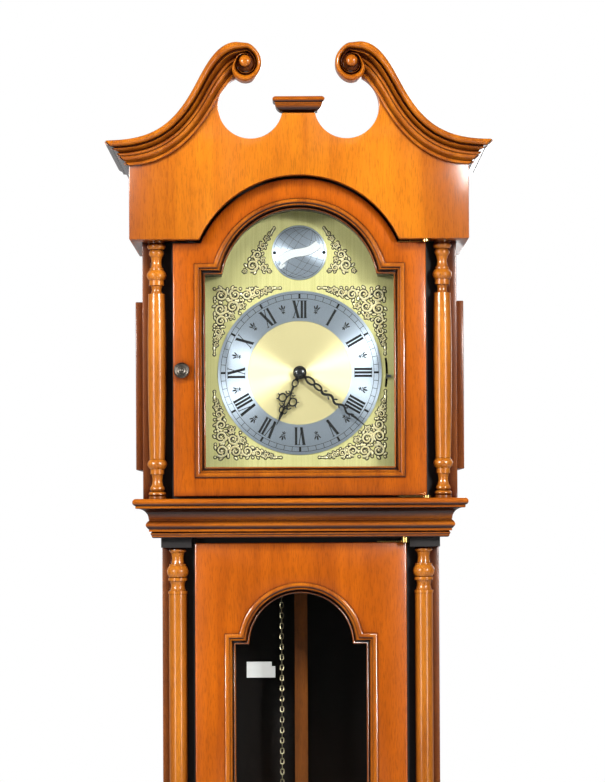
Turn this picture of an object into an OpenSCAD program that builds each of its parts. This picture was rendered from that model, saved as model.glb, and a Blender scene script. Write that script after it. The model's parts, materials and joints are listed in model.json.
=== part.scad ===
// Grandfather clock: an arched brass dial in a hood with a swan-neck pediment,
// a glazed trunk with the chain, weight and pendulum in it, and a panelled base.
// The origin is on the floor under the middle of the case: X right, Y back, Z up.

/* [Case] */
// Width across the outer faces of the hood sides
hood_w = 456; // [448:1:464]
// Width across the outer faces of the trunk
trunk_w = 404; // [396:1:408]
// Width across the outer faces of the base
base_w = 464; // [456:1:472]
// Distance from the middle of the case to its back
back_y = 156; // [150:1:170]
// Thickness of the case boards
board = 16; // [14:0.5:18]
// Top of the base, where the trunk begins
base_h = 500; // [480:1:510]
// Height at which the hood stands on the trunk
hood_z = 1397.5; // [1395:0.5:1400]

/* [Doors] */
// Width of the hood door
hood_door_w = 364.8; // [360:0.2:366]
// Width of the trunk door
trunk_door_w = 306.8; // [300:0.2:310]
// Thickness of both doors
door_t = 20; // [16:0.5:20]
// Bottom of the glass in the trunk door
trunk_glass_z = 600; // [590:1:640]
// Thickness of the glass
glass_t = 3; // [2:0.5:4]

/* [Dial] */
// Width of the dial plate
dial_w = 284; // [282:1:290]
// Height of the middle of the dial
dial_z = 1580.7; // [1578:0.1:1583]
// Outer radius of the chapter ring
ring_r = 119.5; // [110:0.5:120]
// Length of the minute hand from its axis
minute_len = 120; // [110:1:122]
// Length of the hour hand from its axis
hour_len = 81.5; // [75:0.5:84]
// Angle of the minute hand, clockwise from twelve
minute_turn = 129.4; // [0:0.1:360]
// Angle of the hour hand, clockwise from twelve
hour_turn = 204.1; // [0:0.1:360]

/* [Movement] */
// Length of the pendulum from its flexing point to the middle of the bob
pendulum_len = 994; // [980:1:1000]
// Radius of the pendulum bob
bob_r = 70; // [60:1:75]
// Radius of the weight
weight_r = 28; // [24:1:30]
// Length of the weight
weight_len = 220; // [180:1:230]
// Distance of the chain from the middle of the sprocket
chain_x = 28.5; // [27.5:0.5:30]

/* [Hidden] */
$fn = 64;

// Half widths, and how far the front planes lie ahead of the middle of the case.
hood_half = hood_w / 2;
trunk_half = trunk_w / 2;
base_half = base_w / 2;
// Every moulding stands as far out at the front as at the sides.
front_step = 118;
hood_front = -(hood_half - front_step);
trunk_front = -(trunk_half - front_step);
base_front = -(base_half - front_step);
gap = 0.3;

// Hood levels and planes.
frieze_z = 1769.5;
frieze_top = 1876.6;
crown_top = 1909;
frieze_half = hood_half + 16;
frieze_front = -(frieze_half - front_step) + 1;
hood_door_front = -105;
hood_door_back = hood_door_front + door_t;
mask_front = -75;
dial_front = -55;
lip_t = 10.5;
arch_z = 1704.1;
door_arch_r = 154.9;
frieze_arch_r = 157.9;

// Hood door: the outline, and the openings from the moulding inwards.
hood_door_bottom = hood_z + 3;
hood_door_top = 1766;
hood_glass_half = 136;
hood_glass_z = 1443;
hood_glass_shoulder = 1720.5;
hood_glass_arch = 112.5;
hood_glass_arch_z = 1701.8;

// Trunk levels and planes.
trunk_z = base_h + 45;
waist_z = 1340.8;
trunk_door_front = -77;
trunk_door_back = trunk_door_front + door_t;
trunk_frame_front = -47;
trunk_door_bottom = trunk_z + 5;
trunk_door_top = 1333.3;
trunk_glass_half = 94.7;
trunk_glass_shoulder = 1185.7;
trunk_glass_arch = 75.1;
trunk_glass_arch_z = 1184.4;

// Columns.
hood_column_x = hood_half - 21.5;
hood_column_y = -90;
trunk_column_x = trunk_half - 23.3;
trunk_column_y = -63.5;

// Hinge axes, ahead of the door faces.
hood_hinge = [hood_door_w / 2 - 0.4, -115];
trunk_hinge = [trunk_door_w / 2 - 2.4, -87];

// Dial.
dial_half = dial_w / 2;
dial_bottom = 1438;
dial_shoulder = 1723;
dial_arch_r = 117;
dial_arch_z = 1702;
dial_t = 2.5;
ring_inner = 75.8;
boss_z = 1756;
boss_r = 40;
slot_r = 127;

// Movement: plates, arbors and wheels. Counts are teeth.
plate_half = 80;
plate_bottom = 1450;
plate_top = 1680;
front_plate_y = -32;
back_plate_y = 30;
plate_t = 3;
pivot_r = 1.5;
pivot_fit = 0.05;
great_n = 96;
pinion_n = 8;
great_m = 1.25;
centre_n = 64;
centre_m = 1;
third_n = 60;
third_m = 0.9;
escape_n = 30;
escape_r = 22;
cannon_n = 24;
minute_n = 72;
minute_m = 1;
minute_pinion_n = 20;
hour_n = 80;
hour_m = 0.96;
great_z = dial_z - great_m * (great_n + pinion_n) / 2;
third_d = centre_m * (centre_n + pinion_n) / 2;
escape_d = third_m * (third_n + pinion_n) / 2;
escape_rise = 51.3;
escape_z = dial_z + escape_rise;
third_lean = acos((pow(third_d, 2) + pow(escape_rise, 2) - pow(escape_d, 2)) / (2 * third_d * escape_rise));
third_x = -third_d * sin(third_lean);
third_z = dial_z + third_d * cos(third_lean);
anchor_z = escape_z + escape_r * sqrt(2) + 1;
minute_d = minute_m * (cannon_n + minute_n) / 2;
minute_lean = 215;
minute_x = minute_d * cos(minute_lean);
minute_z = dial_z + minute_d * sin(minute_lean);

// Pendulum, weight and chain.
pendulum_y = 52;
stick_half = 9.6;
bob_z = anchor_z - pendulum_len;
weight_top = 860;
chain_r = 1.6;
chain_bottom = 884;
free_bottom = 1340;
ring_wire = 1.2;
chain_ring_r = 8;
bell_x = 20;
bell_z = 1700;
bell_r = 40;
hammer_x = 68;
hammer_z = 1640;

wood = "sienna";
light_wood = "chocolate";
brass = "goldenrod";
steel = "lightsteelblue";

// ---- Shapes that repeat ----

// Points along an arc about c, from angle a0 to a1.
function arc(c, r, a0, a1, n = 8) =
    [for (i = [0:n]) c + r * [cos(a0 + (a1 - a0) * i / n), sin(a0 + (a1 - a0) * i / n)]];

// Points of a turned bead (out > 0) or hollow (out < 0) between two heights.
function bead(r, z0, z1, out, n = 8) =
    [for (i = [0:n]) [r + out * sin(180 * i / n), z0 + (z1 - z0) * i / n]];

// Points along a cubic curve.
function curve(p, n = 12) = [for (i = [0:n]) let (t = i / n, s = 1 - t)
    s * s * s * p[0] + 3 * s * s * t * p[1] + 3 * s * t * t * p[2] + t * t * t * p[3]];

// A flat outline in X and Z given a thickness from y0 back to y1.
module upright(y0, y1) {
    translate([0, y1, 0]) rotate([90, 0, 0]) linear_extrude(y1 - y0) children();
}

// A block given by its lowest and highest corners.
module block(low, high) {
    translate(low) cube(high - low);
}

// The same piece on the left and on the right.
module both_sides() {
    children();
    mirror([1, 0, 0]) children();
}

// Outline with an arched head: a straight part up to the shoulder and a round head.
module arched(half, bottom, shoulder, r, z) {
    translate([-half, bottom]) square([2 * half, shoulder - bottom]);
    translate([0, z]) circle(r, $fn = 96);
}

// The glass opening of each door, grown by d on every side.
module hood_opening(d) {
    arched(hood_glass_half + d, hood_glass_z - d, hood_glass_shoulder + d,
        hood_glass_arch + d, hood_glass_arch_z);
}

module trunk_opening(d) {
    arched(trunk_glass_half + d, trunk_glass_z - d, trunk_glass_shoulder + d,
        trunk_glass_arch + d, trunk_glass_arch_z);
}

// A moulding mitred round the front and both sides. The child is its section, drawn with
// its distance from the board's face along x and its height along y.
module mitred(half, front, z0, z1, reach) {
    intersection() {
        upright(front - reach, back_y) {
            translate([-half, z0]) square([2 * half, z1 - z0]);
            translate([half, 0]) children();
            mirror([1, 0]) translate([half, 0]) children();
        }
        rotate([90, 0, 90]) linear_extrude(2 * (half + reach), center = true) {
            translate([front, z0]) square([back_y - front, z1 - z0]);
            translate([front, 0]) mirror([1, 0]) children();
        }
    }
}

// A turned column: the profile is a list of radius and height, set on the axis.
module turned(profile) {
    z0 = profile[0][1];
    z1 = profile[len(profile) - 1][1];
    rotate_extrude() polygon(concat([[0, z0]], profile, [[0, z1]]));
}

// A cylinder along Y.
module rod(x, z, y0, y1, r) {
    translate([x, y1, z]) rotate([90, 0, 0]) cylinder(h = y1 - y0, r = r);
}

// Flat outline of a toothed wheel with straight tapered teeth.
module teeth(n, m, turn = 0) {
    pitch = m * n / 2;
    root = pitch - 1.2 * m;
    tip = pitch + 0.85 * m;
    wide = m * 180 / 3.14159 * 0.62 / pitch;
    thin = m * 180 / 3.14159 * 0.26 / tip;
    circle(root + 0.01, $fn = 96);
    for (i = [0:n - 1]) rotate(turn + 360 * i / n)
        polygon([
            (root - 0.5) * [cos(-wide), sin(-wide)], tip * [cos(-thin), sin(-thin)],
            tip * [cos(thin), sin(thin)], (root - 0.5) * [cos(wide), sin(wide)],
        ]);
}

// A spoked wheel at x, z, from y0 to y1, with a hole for its arbor.
module wheel(x, z, y0, y1, n, m, hole, turn = 0) {
    inner = m * n / 2 - 1.2 * m - 3.5;
    upright(y0, y1) translate([x, z]) difference() {
        teeth(n, m, turn);
        circle(hole);
        if (inner > 20) for (i = [0:3]) rotate(90 * i) intersection() {
            difference() {
                circle(inner);
                circle(max(9, hole + 5));
            }
            translate([3, 3]) square(inner);
        }
    }
}

module pinion(x, z, y0, y1, n, m, turn = 0) {
    upright(y0, y1) translate([x, z]) teeth(n, m, turn);
}

// ---- Base ----

module base_boards() color(wood) {
    inner = base_half - board;
    both_sides() block([inner, base_front + board, 12], [base_half, back_y - 12, base_h]);
    block([-base_half, base_front, 12], [base_half, base_front + board, base_h]);
    block([-inner, base_front + board, 30], [inner, back_y - 12, 42]);
}

module base_front_panel() color(light_wood) {
    half = base_half - 62;
    intersection() {
        block([-half, base_front - 8, 160], [half, base_front, base_h - 50]);
        rotate([90, 0, 90]) linear_extrude(2 * half, center = true) polygon([
            [base_front, 160], [base_front - 3, 160], [base_front - 8, 182],
            [base_front - 8, base_h - 72], [base_front - 3, base_h - 50], [base_front, base_h - 50],
        ]);
        linear_extrude(base_h) polygon([
            [-half, base_front], [-half, base_front - 3], [-half + 22, base_front - 8],
            [half - 22, base_front - 8], [half, base_front - 3], [half, base_front],
        ]);
    }
}

module base_skirt() color(wood) difference() {
    mitred(base_half, base_front, 0, 110, 20)
        polygon(concat([[-1, 0], [12, 0], [12, 88]], arc([12, 98], 10, -90, -180), [[2, 110], [-1, 110]]));
    block([-base_half, base_front, -1], [base_half, back_y + 1, 111]);
    // Bracket feet: the lower edge rises between them.
    upright(base_front - 40, base_front + 1) foot_gap(base_half - 74);
    rotate([90, 0, 90]) linear_extrude(3 * base_w, center = true)
        translate([(back_y + base_front) / 2 + 20, 0]) foot_gap(60);
}

// The gap between two bracket feet, with a rounded step at each end.
module foot_gap(half) {
    translate([-half, -1]) square([2 * half, 41]);
    translate([-half + 24, -1]) square([2 * half - 48, 57]);
    for (s = [-1, 1]) translate([s * (half - 24), 40]) circle(16);
}

module base_top_moulding() color(wood) difference() {
    mitred(trunk_half, trunk_front, base_h, trunk_z, 60)
        polygon(concat(
            [[-1, base_h], [36, base_h]], arc([36, base_h + 6], 6, -90, 90, 12), [[33, base_h + 12]],
            [[33, base_h + 15]], arc([33, trunk_z - 6], 24, -90, -180, 12), [[9, trunk_z - 4]],
            arc([5, trunk_z - 4], 4, 0, 90), [[-1, trunk_z]]));
    block([-trunk_half + board, trunk_frame_front + 18, base_h - 1],
        [trunk_half - board, back_y + 1, trunk_z + 1]);
    both_sides() block([trunk_half - board - 1, trunk_frame_front, base_h - 1],
        [trunk_half, back_y + 1, trunk_z + 1]);
    block([-trunk_half - 1, back_y - 12, base_h - 1], [trunk_half + 1, back_y + 1, trunk_z + 1]);
}

// ---- Trunk ----

module trunk_sides() color(wood)
    both_sides() block([trunk_half - board, trunk_frame_front, base_h - 20],
        [trunk_half, back_y - 12, 1430]);

module trunk_front_frame() color(wood) {
    inner = trunk_half - board;
    difference() {
        union() {
            block([-inner, trunk_frame_front, trunk_z], [inner, trunk_frame_front + 18, waist_z]);
            block([-157, trunk_door_back + gap, trunk_z], [157, trunk_frame_front, waist_z]);
        }
        upright(trunk_door_back, 0) arched(125, 575, 1215, 100, 1186.5);
    }
    both_sides() for (z = [[trunk_z, trunk_z + 48], [waist_z - 14, waist_z]])
        block([158, -80, z[0]], [trunk_half, trunk_frame_front, z[1]]);
}

function trunk_capital(z, s) = concat(
    bead(9.5, z, z + s * 8, 3.4), bead(9.6, z + s * 8, z + s * 24, -1.2),
    [[12.4, z + s * 24], [12.4, z + s * 26]], bead(12.2, z + s * 26, z + s * 44, 3.8),
    [[13.8, z + s * 44], [13.8, z + s * 48]], bead(12, z + s * 48, z + s * 63, -2),
    [[14, z + s * 63], [14, z + s * 67]]);

function reversed(list) = [for (i = [len(list) - 1:-1:0]) list[i]];

module trunk_columns() color(light_wood) both_sides()
    translate([trunk_column_x, trunk_column_y, 0]) {
        low = trunk_z + 48;
        high = waist_z - 14;
        turned(concat(trunk_capital(low, 1), [[13.1, low + 67], [13.1, high - 67]],
            reversed(trunk_capital(high, -1))));
    }

module back_board() color(wood) upright(back_y - 12, back_y) polygon([
    [-base_half, 12], [base_half, 12], [base_half, base_h],
    [trunk_half, base_h], [trunk_half, hood_z - lip_t - gap], [trunk_half, hood_z],
    [hood_half - board, hood_z], [hood_half - board, frieze_top + 3],
    [-hood_half + board, frieze_top + 3], [-hood_half + board, hood_z],
    [-trunk_half, hood_z], [-trunk_half, base_h], [-base_half, base_h],
]);

module paper_label() color("white") upright(back_y - 12.6, back_y - 12)
    polygon([[-83, 1126], [-39.5, 1126], [-39.5, 1143], [-45, 1143], [-45, 1150], [-83, 1150]]);

module waist_moulding() color(wood) difference() {
    z = waist_z;
    mitred(trunk_half, trunk_front, z, hood_z - lip_t, 60)
        polygon(concat(
            [[-1, z], [9.8, z]], arc([9.8, z + 3], 3, -90, 0), bead(12.8, z + 3, z + 9, 1.4),
            [[16.5, z + 9], [16.5, z + 12]], bead(16.5, z + 12, z + 25.7, 4.4),
            [[16.5, z + 25.7], [16.5, z + 27]], arc([32, z + 27], 15.2, 180, 90),
            [[35, z + 42.2], [35, hood_z - lip_t], [-1, hood_z - lip_t]]));
    block([-trunk_half + board, trunk_frame_front + 18, z - 1],
        [trunk_half - board, back_y + 1, hood_z]);
    both_sides() block([trunk_half - board - 1, trunk_frame_front, z - 1],
        [trunk_half, back_y + 1, hood_z]);
    block([-trunk_half - 1, back_y - 12, z - 1], [trunk_half + 1, back_y + 1, hood_z]);
}

module seat_board() color(wood) difference() {
    block([-trunk_half, -45, 1430], [trunk_half, 75, plate_bottom]);
    for (s = [-1, 1]) block([s * chain_x - 8, -8, 1429], [s * chain_x + 8, 8, plate_bottom + 1]);
    block([-28, 38, 1429], [28, 76, plate_bottom + 1]);
}

// ---- Hood ----

module hood_base_frame() color(wood) difference() {
    z = hood_z - lip_t;
    mitred(hood_half, hood_front, z, hood_z, 20)
        polygon(concat([[-1, z], [8, z]], arc([8, z + 5.2], 5.2, -90, 90, 12), [[8, hood_z], [-1, hood_z]]));
    block([-hood_half + board, mask_front + 20, z - 1], [hood_half - board, back_y + 1, hood_z + 1]);
    block([-trunk_half, trunk_frame_front, z - 1], [trunk_half, back_y + 1, hood_z + 1]);
}

module hood_sides() color(wood) both_sides() difference() {
    block([hood_half - board, mask_front, hood_z], [hood_half, back_y - 12, frieze_top]);
    block([hood_half - board - 1, -35, 1445], [hood_half + 1, 105, 1681]);
}

module hood_columns() color(light_wood) both_sides()
    translate([hood_column_x, hood_column_y, 0]) turned(concat(
        [[12.4, hood_z], [12.4, hood_z + 3.5]], bead(11, 1401, 1407.5, 1.8),
        bead(8.6, 1407.5, 1416.5, 2.2), bead(8.6, 1416.5, 1433, -1.5), [[10, 1433], [10, 1440.5]],
        bead(10.6, 1440.5, 1455, 3.8), [[11.2, 1455], [11.3, 1458]],
        curve([[11.3, 1458], [13.4, 1530], [14.6, 1620], [11.9, 1693.7]], 16),
        [[8.4, 1693.7]], bead(8.4, 1693.7, 1705, -1.4), [[10.8, 1706], [10.8, 1713]],
        bead(10.4, 1713, 1728, 4), [[10, 1728], [10, 1731]], bead(8.6, 1731, 1747, -1.5),
        bead(8.8, 1747, 1758, 2.2), bead(10.8, 1758, 1767, 2.7), [[12.4, 1767], [12.4, frieze_z]]));

module dial_mask() color(wood) difference() {
    union() {
        block([-hood_half + board, mask_front, hood_z], [hood_half - board, dial_front - gap, frieze_top]);
        upright(hood_door_back + gap, mask_front) arched(185, hood_z, frieze_z, 154, arch_z);
    }
    upright(-90, 0) arched(139, 1441, 1721, 114.5, dial_arch_z);
}

// The edge of one swan neck, from the outer end up and over to the scroll. The first curve
// is the upper edge and the second the lower edge.
swan_upper = concat(
    curve([[-276.5, crown_top], [-215, crown_top], [-181.7, 1925.1], [-150, 1983]], 14),
    curve([[-150, 1983], [-134.6, 2011], [-118, 2049], [-88, 2049]], 12),
    arc([-84.3, 2017], 32, 90, 0, 8));
swan_lower = concat(
    curve([[-frieze_half, frieze_top], [-189, frieze_top], [-148.3, 1914.7], [-121.5, 1961.6]], 14),
    curve([[-121.5, 1961.6], [-112.6, 1977.2], [-98, 2001], [-82, 2009]], 12),
    arc([-82, 2004], 5, 90, 0, 8));
scroll = [-71.5, 2012.5];
scroll_r = 19.4;
scroll_eye = [-76, 2021.5];

// The board behind the moulding reaches most of the way up to its upper edge.
swan_board = concat([[-frieze_half, frieze_top]],
    [for (i = [3:len(swan_upper) - 1]) swan_upper[i] * 0.8 + swan_lower[i] * 0.2]);

// The band between two of the lines that run from the upper edge (0) to the lower (1).
module swan_band(u0, u1) polygon(concat(
    [for (i = [0:len(swan_upper) - 1]) swan_upper[i] * (1 - u0) + swan_lower[i] * u0],
    reversed([for (i = [0:len(swan_upper) - 1]) swan_upper[i] * (1 - u1) + swan_lower[i] * u1])));

module swan_neck_mouldings() color(wood) both_sides() {
    upright(-156, frieze_front) swan_band(0, 0.36);
    upright(-147, frieze_front) swan_band(0.36, 0.66);
    upright(-136, frieze_front) swan_band(0.66, 1);
    upright(-156, frieze_front) translate(scroll) circle(scroll_r);
    rod(scroll_eye[0], scroll_eye[1], -158, -156, 8.6);
}

module frieze_boards() color(light_wood) {
    upright(frieze_front, hood_door_front) difference() {
        union() {
            translate([-frieze_half, frieze_z]) square([2 * frieze_half, frieze_top - frieze_z]);
            both_sides() polygon(concat(swan_board, [[-28, 2000], [-25, 1951], [0, 1951], [0, frieze_top]]));
        }
        both_sides() translate([-69.1, 1960.4]) circle(46.3);
        both_sides() translate([-60, 1962]) square([35, 90]);
        translate([0, arch_z]) circle(frieze_arch_r, $fn = 96);
    }
    both_sides() block([hood_half, hood_door_front, frieze_z], [frieze_half, back_y - 12, frieze_top]);
    both_sides() block([160, hood_door_front, frieze_z], [hood_half, mask_front, frieze_z + 10]);
}

module crown_returns() color(wood) both_sides() difference() {
    upright(frieze_front, back_y) translate([frieze_half, 0]) polygon(concat(
        [[-16, frieze_top], [2, frieze_top], [2, frieze_top + 2.5]],
        bead(3, frieze_top + 2.5, frieze_top + 9, 2.4), [[7, frieze_top + 9]],
        arc([15, frieze_top + 11], 8, 180, 90), [[16, frieze_top + 20]],
        arc([16, crown_top - 1.6], 10.1, -90, 0), [[32.5, crown_top - 1.6], [32.5, crown_top]],
        [[-16, crown_top]]));
    block([hood_half - 1, frieze_front - 1, frieze_top - 1], [frieze_half, hood_door_front, crown_top + 1]);
}

module plinth_cap() color(wood) {
    upright(-134, -100) polygon(concat(
        arc([-37, 1951], 12, 0, 90), [[-37, 1964], [-37.6, 1965], [-37.6, 1974]],
        [[37.6, 1974], [37.6, 1965], [37, 1964]], arc([37, 1951], 12, 90, 180)));
}

module hood_roof() color(wood) {
    block([-hood_half, hood_door_front + gap, frieze_top + 3], [hood_half, back_y, frieze_top + 15]);
}

module side_panel() color(wood) {
    block([hood_half + gap, -40, 1440], [hood_half + 12, 110, 1686]);
    block([hood_half - board, -34.7, 1445.3], [hood_half + gap, 104.7, 1680.7]);
}

module side_panel_right() side_panel();
module side_panel_left() mirror([1, 0, 0]) side_panel();

// The fixed pins that the doors turn on, one above and one below each door.
module hinge_pins() color(brass) {
    hinge_pin(hood_hinge, frieze_z, -1, 1.2, 3.3);
    hinge_pin(hood_hinge, hood_z, 1, 1.2, 3);
    hinge_pin(trunk_hinge, waist_z, -1, 5, 7.3);
    hinge_pin(trunk_hinge, trunk_z, 1, 2.7, 4.8);
}

module hinge_pin(at, z, way, plate, reach) translate([at[0], at[1], z]) mirror([0, 0, way < 0 ? 1 : 0]) {
    cylinder(h = plate, r = 5);
    cylinder(h = reach, r = 2);
}

// A flat strap on the edge of a door, out to the eye that turns on the pin.
module strap(at, z, t, back) difference() {
    union() {
        translate([at[0], at[1], z]) cylinder(h = t, r = 5);
        block([at[0] - 5, at[1], z], [at[0] + 0.4, back, z + t]);
        block([at[0] - 40, back - 12, z], [at[0] + 0.4, back, z + t]);
    }
    translate([at[0], at[1], z - 1]) cylinder(h = t + 2, r = 2.05);
}

module hood_door_straps() color(brass) {
    strap(hood_hinge, hood_door_top, 1.9, hood_door_front + 14);
    strap(hood_hinge, hood_door_bottom - 1.5, 1.5, hood_door_front + 14);
}

module trunk_door_straps() color(brass) {
    strap(trunk_hinge, trunk_door_top, 1.9, trunk_door_front + 14);
    strap(trunk_hinge, trunk_door_bottom - 1.9, 1.9, trunk_door_front + 14);
}

// ---- Doors ----

module hood_door_frame() color(light_wood) upright(hood_door_front, hood_door_back) difference() {
    arched(hood_door_w / 2, hood_door_bottom, hood_door_top, door_arch_r, arch_z);
    hood_opening(6);
}

module hood_door_moulding() color(wood) {
    upright(hood_door_front - 3, hood_door_front) difference() {
        hood_opening(16);
        hood_opening(7);
    }
    upright(hood_door_front, hood_door_front + 10) difference() {
        hood_opening(6);
        hood_opening(0);
    }
}

module hood_door_glass() color("white", 0.3)
    upright(hood_door_front + 10, hood_door_front + 10 + glass_t) hood_opening(5.8);

// A round turned knob with rings on its face.
module knob(x, y, z, r) translate([x, y, z]) rotate([90, 0, 0]) turned(concat(
    [[r * 0.9, 0], [r * 0.9, 1.5], [r * 0.4, 3], [r * 0.4, 6]],
    bead(r * 0.94, 6.5, 9.5, 0.6), [[r * 0.8, 10.5], [r * 0.7, 10]],
    bead(r * 0.5, 10.5, 11.5, 0.5), [[r * 0.3, 10.5]], bead(0.1, 10.8, 12.2, 2)));

module hood_door_knob() color("dimgray") knob(-170, hood_door_front, 1582, 11.4);

module trunk_door_frame() color(light_wood) upright(trunk_door_front, trunk_door_back) difference() {
    translate([-trunk_door_w / 2, trunk_door_bottom])
        square([trunk_door_w, trunk_door_top - trunk_door_bottom]);
    trunk_opening(6);
}

module trunk_door_moulding() color(wood) {
    upright(trunk_door_front - 3, trunk_door_front) difference() {
        trunk_opening(16.2);
        trunk_opening(7);
    }
    upright(trunk_door_front, trunk_door_front + 10) difference() {
        trunk_opening(6);
        trunk_opening(0);
    }
}

module trunk_door_glass() color("white", 0.3)
    upright(trunk_door_front + 10, trunk_door_front + 10 + glass_t) trunk_opening(5.8);

module trunk_door_knob() color("dimgray") knob(-133, trunk_door_front, 900, 9.5);

// ---- Dial ----

// A slot or a lever along an arc about the middle of the dial, from angle a0 to a1.
module dial_arc(r0, r1, a0, a1) translate([0, dial_z])
    polygon(concat(arc([0, 0], r1, a0, a1), reversed(arc([0, 0], r0, a0, a1))));

module dial_plate() color(brass) upright(dial_front, dial_front + dial_t) difference() {
    arched(dial_half, dial_bottom, dial_shoulder, dial_arch_r, dial_arch_z);
    translate([0, dial_z]) circle(8);
    dial_arc(slot_r - 1.6, slot_r + 1.6, -9.6, 9.6);
}

module chapter_ring() color("silver") upright(dial_front - 1.5, dial_front) translate([0, dial_z])
    difference() {
        circle(ring_r, $fn = 128);
        circle(ring_inner, $fn = 128);
    }

module arch_boss() color(brass) {
    rod(0, boss_z, dial_front - 2, dial_front, boss_r);
    for (x = [-36, 36]) rod(x, boss_z, dial_front - 3.2, dial_front - 2, 2.4);
}

module spandrels() color(brass) upright(dial_front - 1.4, dial_front) {
    both_sides() for (s = [-1, 1]) translate([0, dial_z]) mirror([0, s < 0 ? 1 : 0]) difference() {
        polygon([[-126, 127], [-27, 127], [-48, 117], [-86, 86], [-117, 48], [-126, 27]]);
        circle(ring_r + 1, $fn = 128);
    }
    both_sides() polygon([[-39, 1790], [-57, 1780], [-84, 1742], [-84, 1729], [-42, 1727], [-46, 1756]]);
}

// ---- Hands ----

module hour_hand() color("black") upright(dial_front - 6.5, dial_front - 5) translate([0, dial_z])
    rotate(-hour_turn) difference() {
        union() {
            circle(12);
            polygon([[-3, 8], [-9, 24], [-9, 40], [-2.5, 56], [-7, 62], [0, hour_len],
                [7, 62], [2.5, 56], [9, 40], [9, 24], [3, 8]]);
        }
        circle(7.4);
        translate([0, 32]) circle(5);
    }

module minute_hand() color("black") {
    upright(dial_front - 10.5, dial_front - 9) translate([0, dial_z]) rotate(-minute_turn) difference() {
        union() {
            circle(9);
            polygon([[-3, 6], [-7, 22], [-4, 36], [-2.4, 46], [-3.6, 70], [0, minute_len],
                [3.6, 70], [2.4, 46], [4, 36], [7, 22], [3, 6]]);
        }
        circle(3);
        translate([0, 22]) circle(3.4);
    }
    rod(0, dial_z, dial_front - 14, dial_front - 10.5, 7.8);
}

// ---- Movement ----

arbors = [
    [0, great_z, pivot_r], [0, dial_z, 3], [third_x, third_z, pivot_r],
    [0, escape_z, pivot_r], [0, anchor_z, 2], [hammer_x, hammer_z, pivot_r],
    [minute_x, minute_z, pivot_r],
];

module movement_plates() color(brass) for (y = [front_plate_y, back_plate_y])
    upright(y, y + plate_t) difference() {
        translate([-plate_half, plate_bottom]) square([2 * plate_half, plate_top - plate_bottom]);
        for (a = arbors) translate([a[0], a[1]]) circle(a[2] + pivot_fit);
    }

module movement_pillars() color(brass) both_sides() for (p = [[70, plate_bottom + 12], [52, plate_top - 12]])
    rod(p[0], p[1], front_plate_y + plate_t, back_plate_y, 5);

module suspension_cock() color(brass) difference() {
    block([-14, back_plate_y + plate_t, anchor_z + 6], [14, pendulum_y + 8, anchor_z + 16]);
    block([-6, pendulum_y - 1, anchor_z + 5], [6, pendulum_y + 1, anchor_z + 17]);
}

module bell() color("silver") {
    translate([bell_x, 0, bell_z]) rotate_extrude() polygon(concat(
        [[bell_r, 0]], curve([[bell_r, 0], [bell_r - 6, 10], [bell_r - 4, 24], [6, 26]], 10),
        [[0, 26], [0, 23]], reversed(curve([[bell_r - 3, 0], [bell_r - 9, 9], [bell_r - 8, 21], [6, 23]], 10))));
    translate([bell_x, 0, bell_z + 26]) cylinder(h = 12, r = 3);
    block([bell_x - 5, -5, bell_z + 38], [bell_x + 6, back_plate_y + 6, bell_z + 41]);
    block([bell_x - 5, back_plate_y + 3, plate_top - 40], [bell_x + 6, back_plate_y + 6, bell_z + 38]);
}

// An arbor with a pivot at each end, from the front plate to the back plate.
module arbor(x, z, r = 3) {
    rod(x, z, front_plate_y + plate_t + 0.5, back_plate_y - 0.5, r);
    rod(x, z, front_plate_y, back_plate_y + plate_t, pivot_r);
}

module great_wheel() color(brass) {
    difference() {
        union() {
            wheel(0, great_z, 14, 17, great_n, great_m, 3, 90 + 180 / great_n);
            rod(0, great_z, 8, 14, 9);
        }
        rod(0, great_z, 7, 18, 2.9);
    }
    arbor(0, great_z);
}

module chain_sprocket() color(brass) difference() {
    union() {
        rod(0, great_z, -6, 6, chain_x - 6);
        for (y = [-6, 4.5]) rod(0, great_z, y, y + 1.5, chain_x - 2.4);
    }
    rod(0, great_z, -7, 7, 3.05);
}

module centre_arbor() color(steel) {
    pinion(0, dial_z, 10, 21, pinion_n, great_m, 90);
    wheel(0, dial_z, -14, -11.5, centre_n, centre_m, 2.9, 90 + third_lean + 180 / centre_n);
    pinion(0, dial_z, -38, -33.5, cannon_n, minute_m, minute_lean);
    rod(0, dial_z, -65.5, back_plate_y + plate_t, 2.99);
    rod(0, dial_z, -62, -38, 5.2);
}

module minute_wheel() color(brass) {
    wheel(minute_x, minute_z, -37, -34.5, minute_n, minute_m, 2.9, minute_lean + 180 + 180 / minute_n);
    pinion(minute_x, minute_z, -46, -37, minute_pinion_n, hour_m, minute_lean + 180);
    rod(minute_x, minute_z, -47, -32.4, 3);
    rod(minute_x, minute_z, -32.4, front_plate_y + plate_t, pivot_r);
}

module hour_wheel() color(brass) difference() {
    union() {
        wheel(0, dial_z, -44, -41, hour_n, hour_m, 5.6, minute_lean + 180 / hour_n);
        rod(0, dial_z, -61, -44, 7.39);
        rod(0, dial_z, -44, -40, 9);
    }
    rod(0, dial_z, -62, -39, 5.26);
}

module third_wheel() color(steel) {
    turn = 90 + third_lean;
    out = atan2(escape_z - third_z, -third_x);
    pinion(third_x, third_z, -18, -8, pinion_n, centre_m, turn + 180);
    wheel(third_x, third_z, -22, -20, third_n, third_m, 2.6, out + 180 / third_n);
    arbor(third_x, third_z, 2.7);
}

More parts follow.
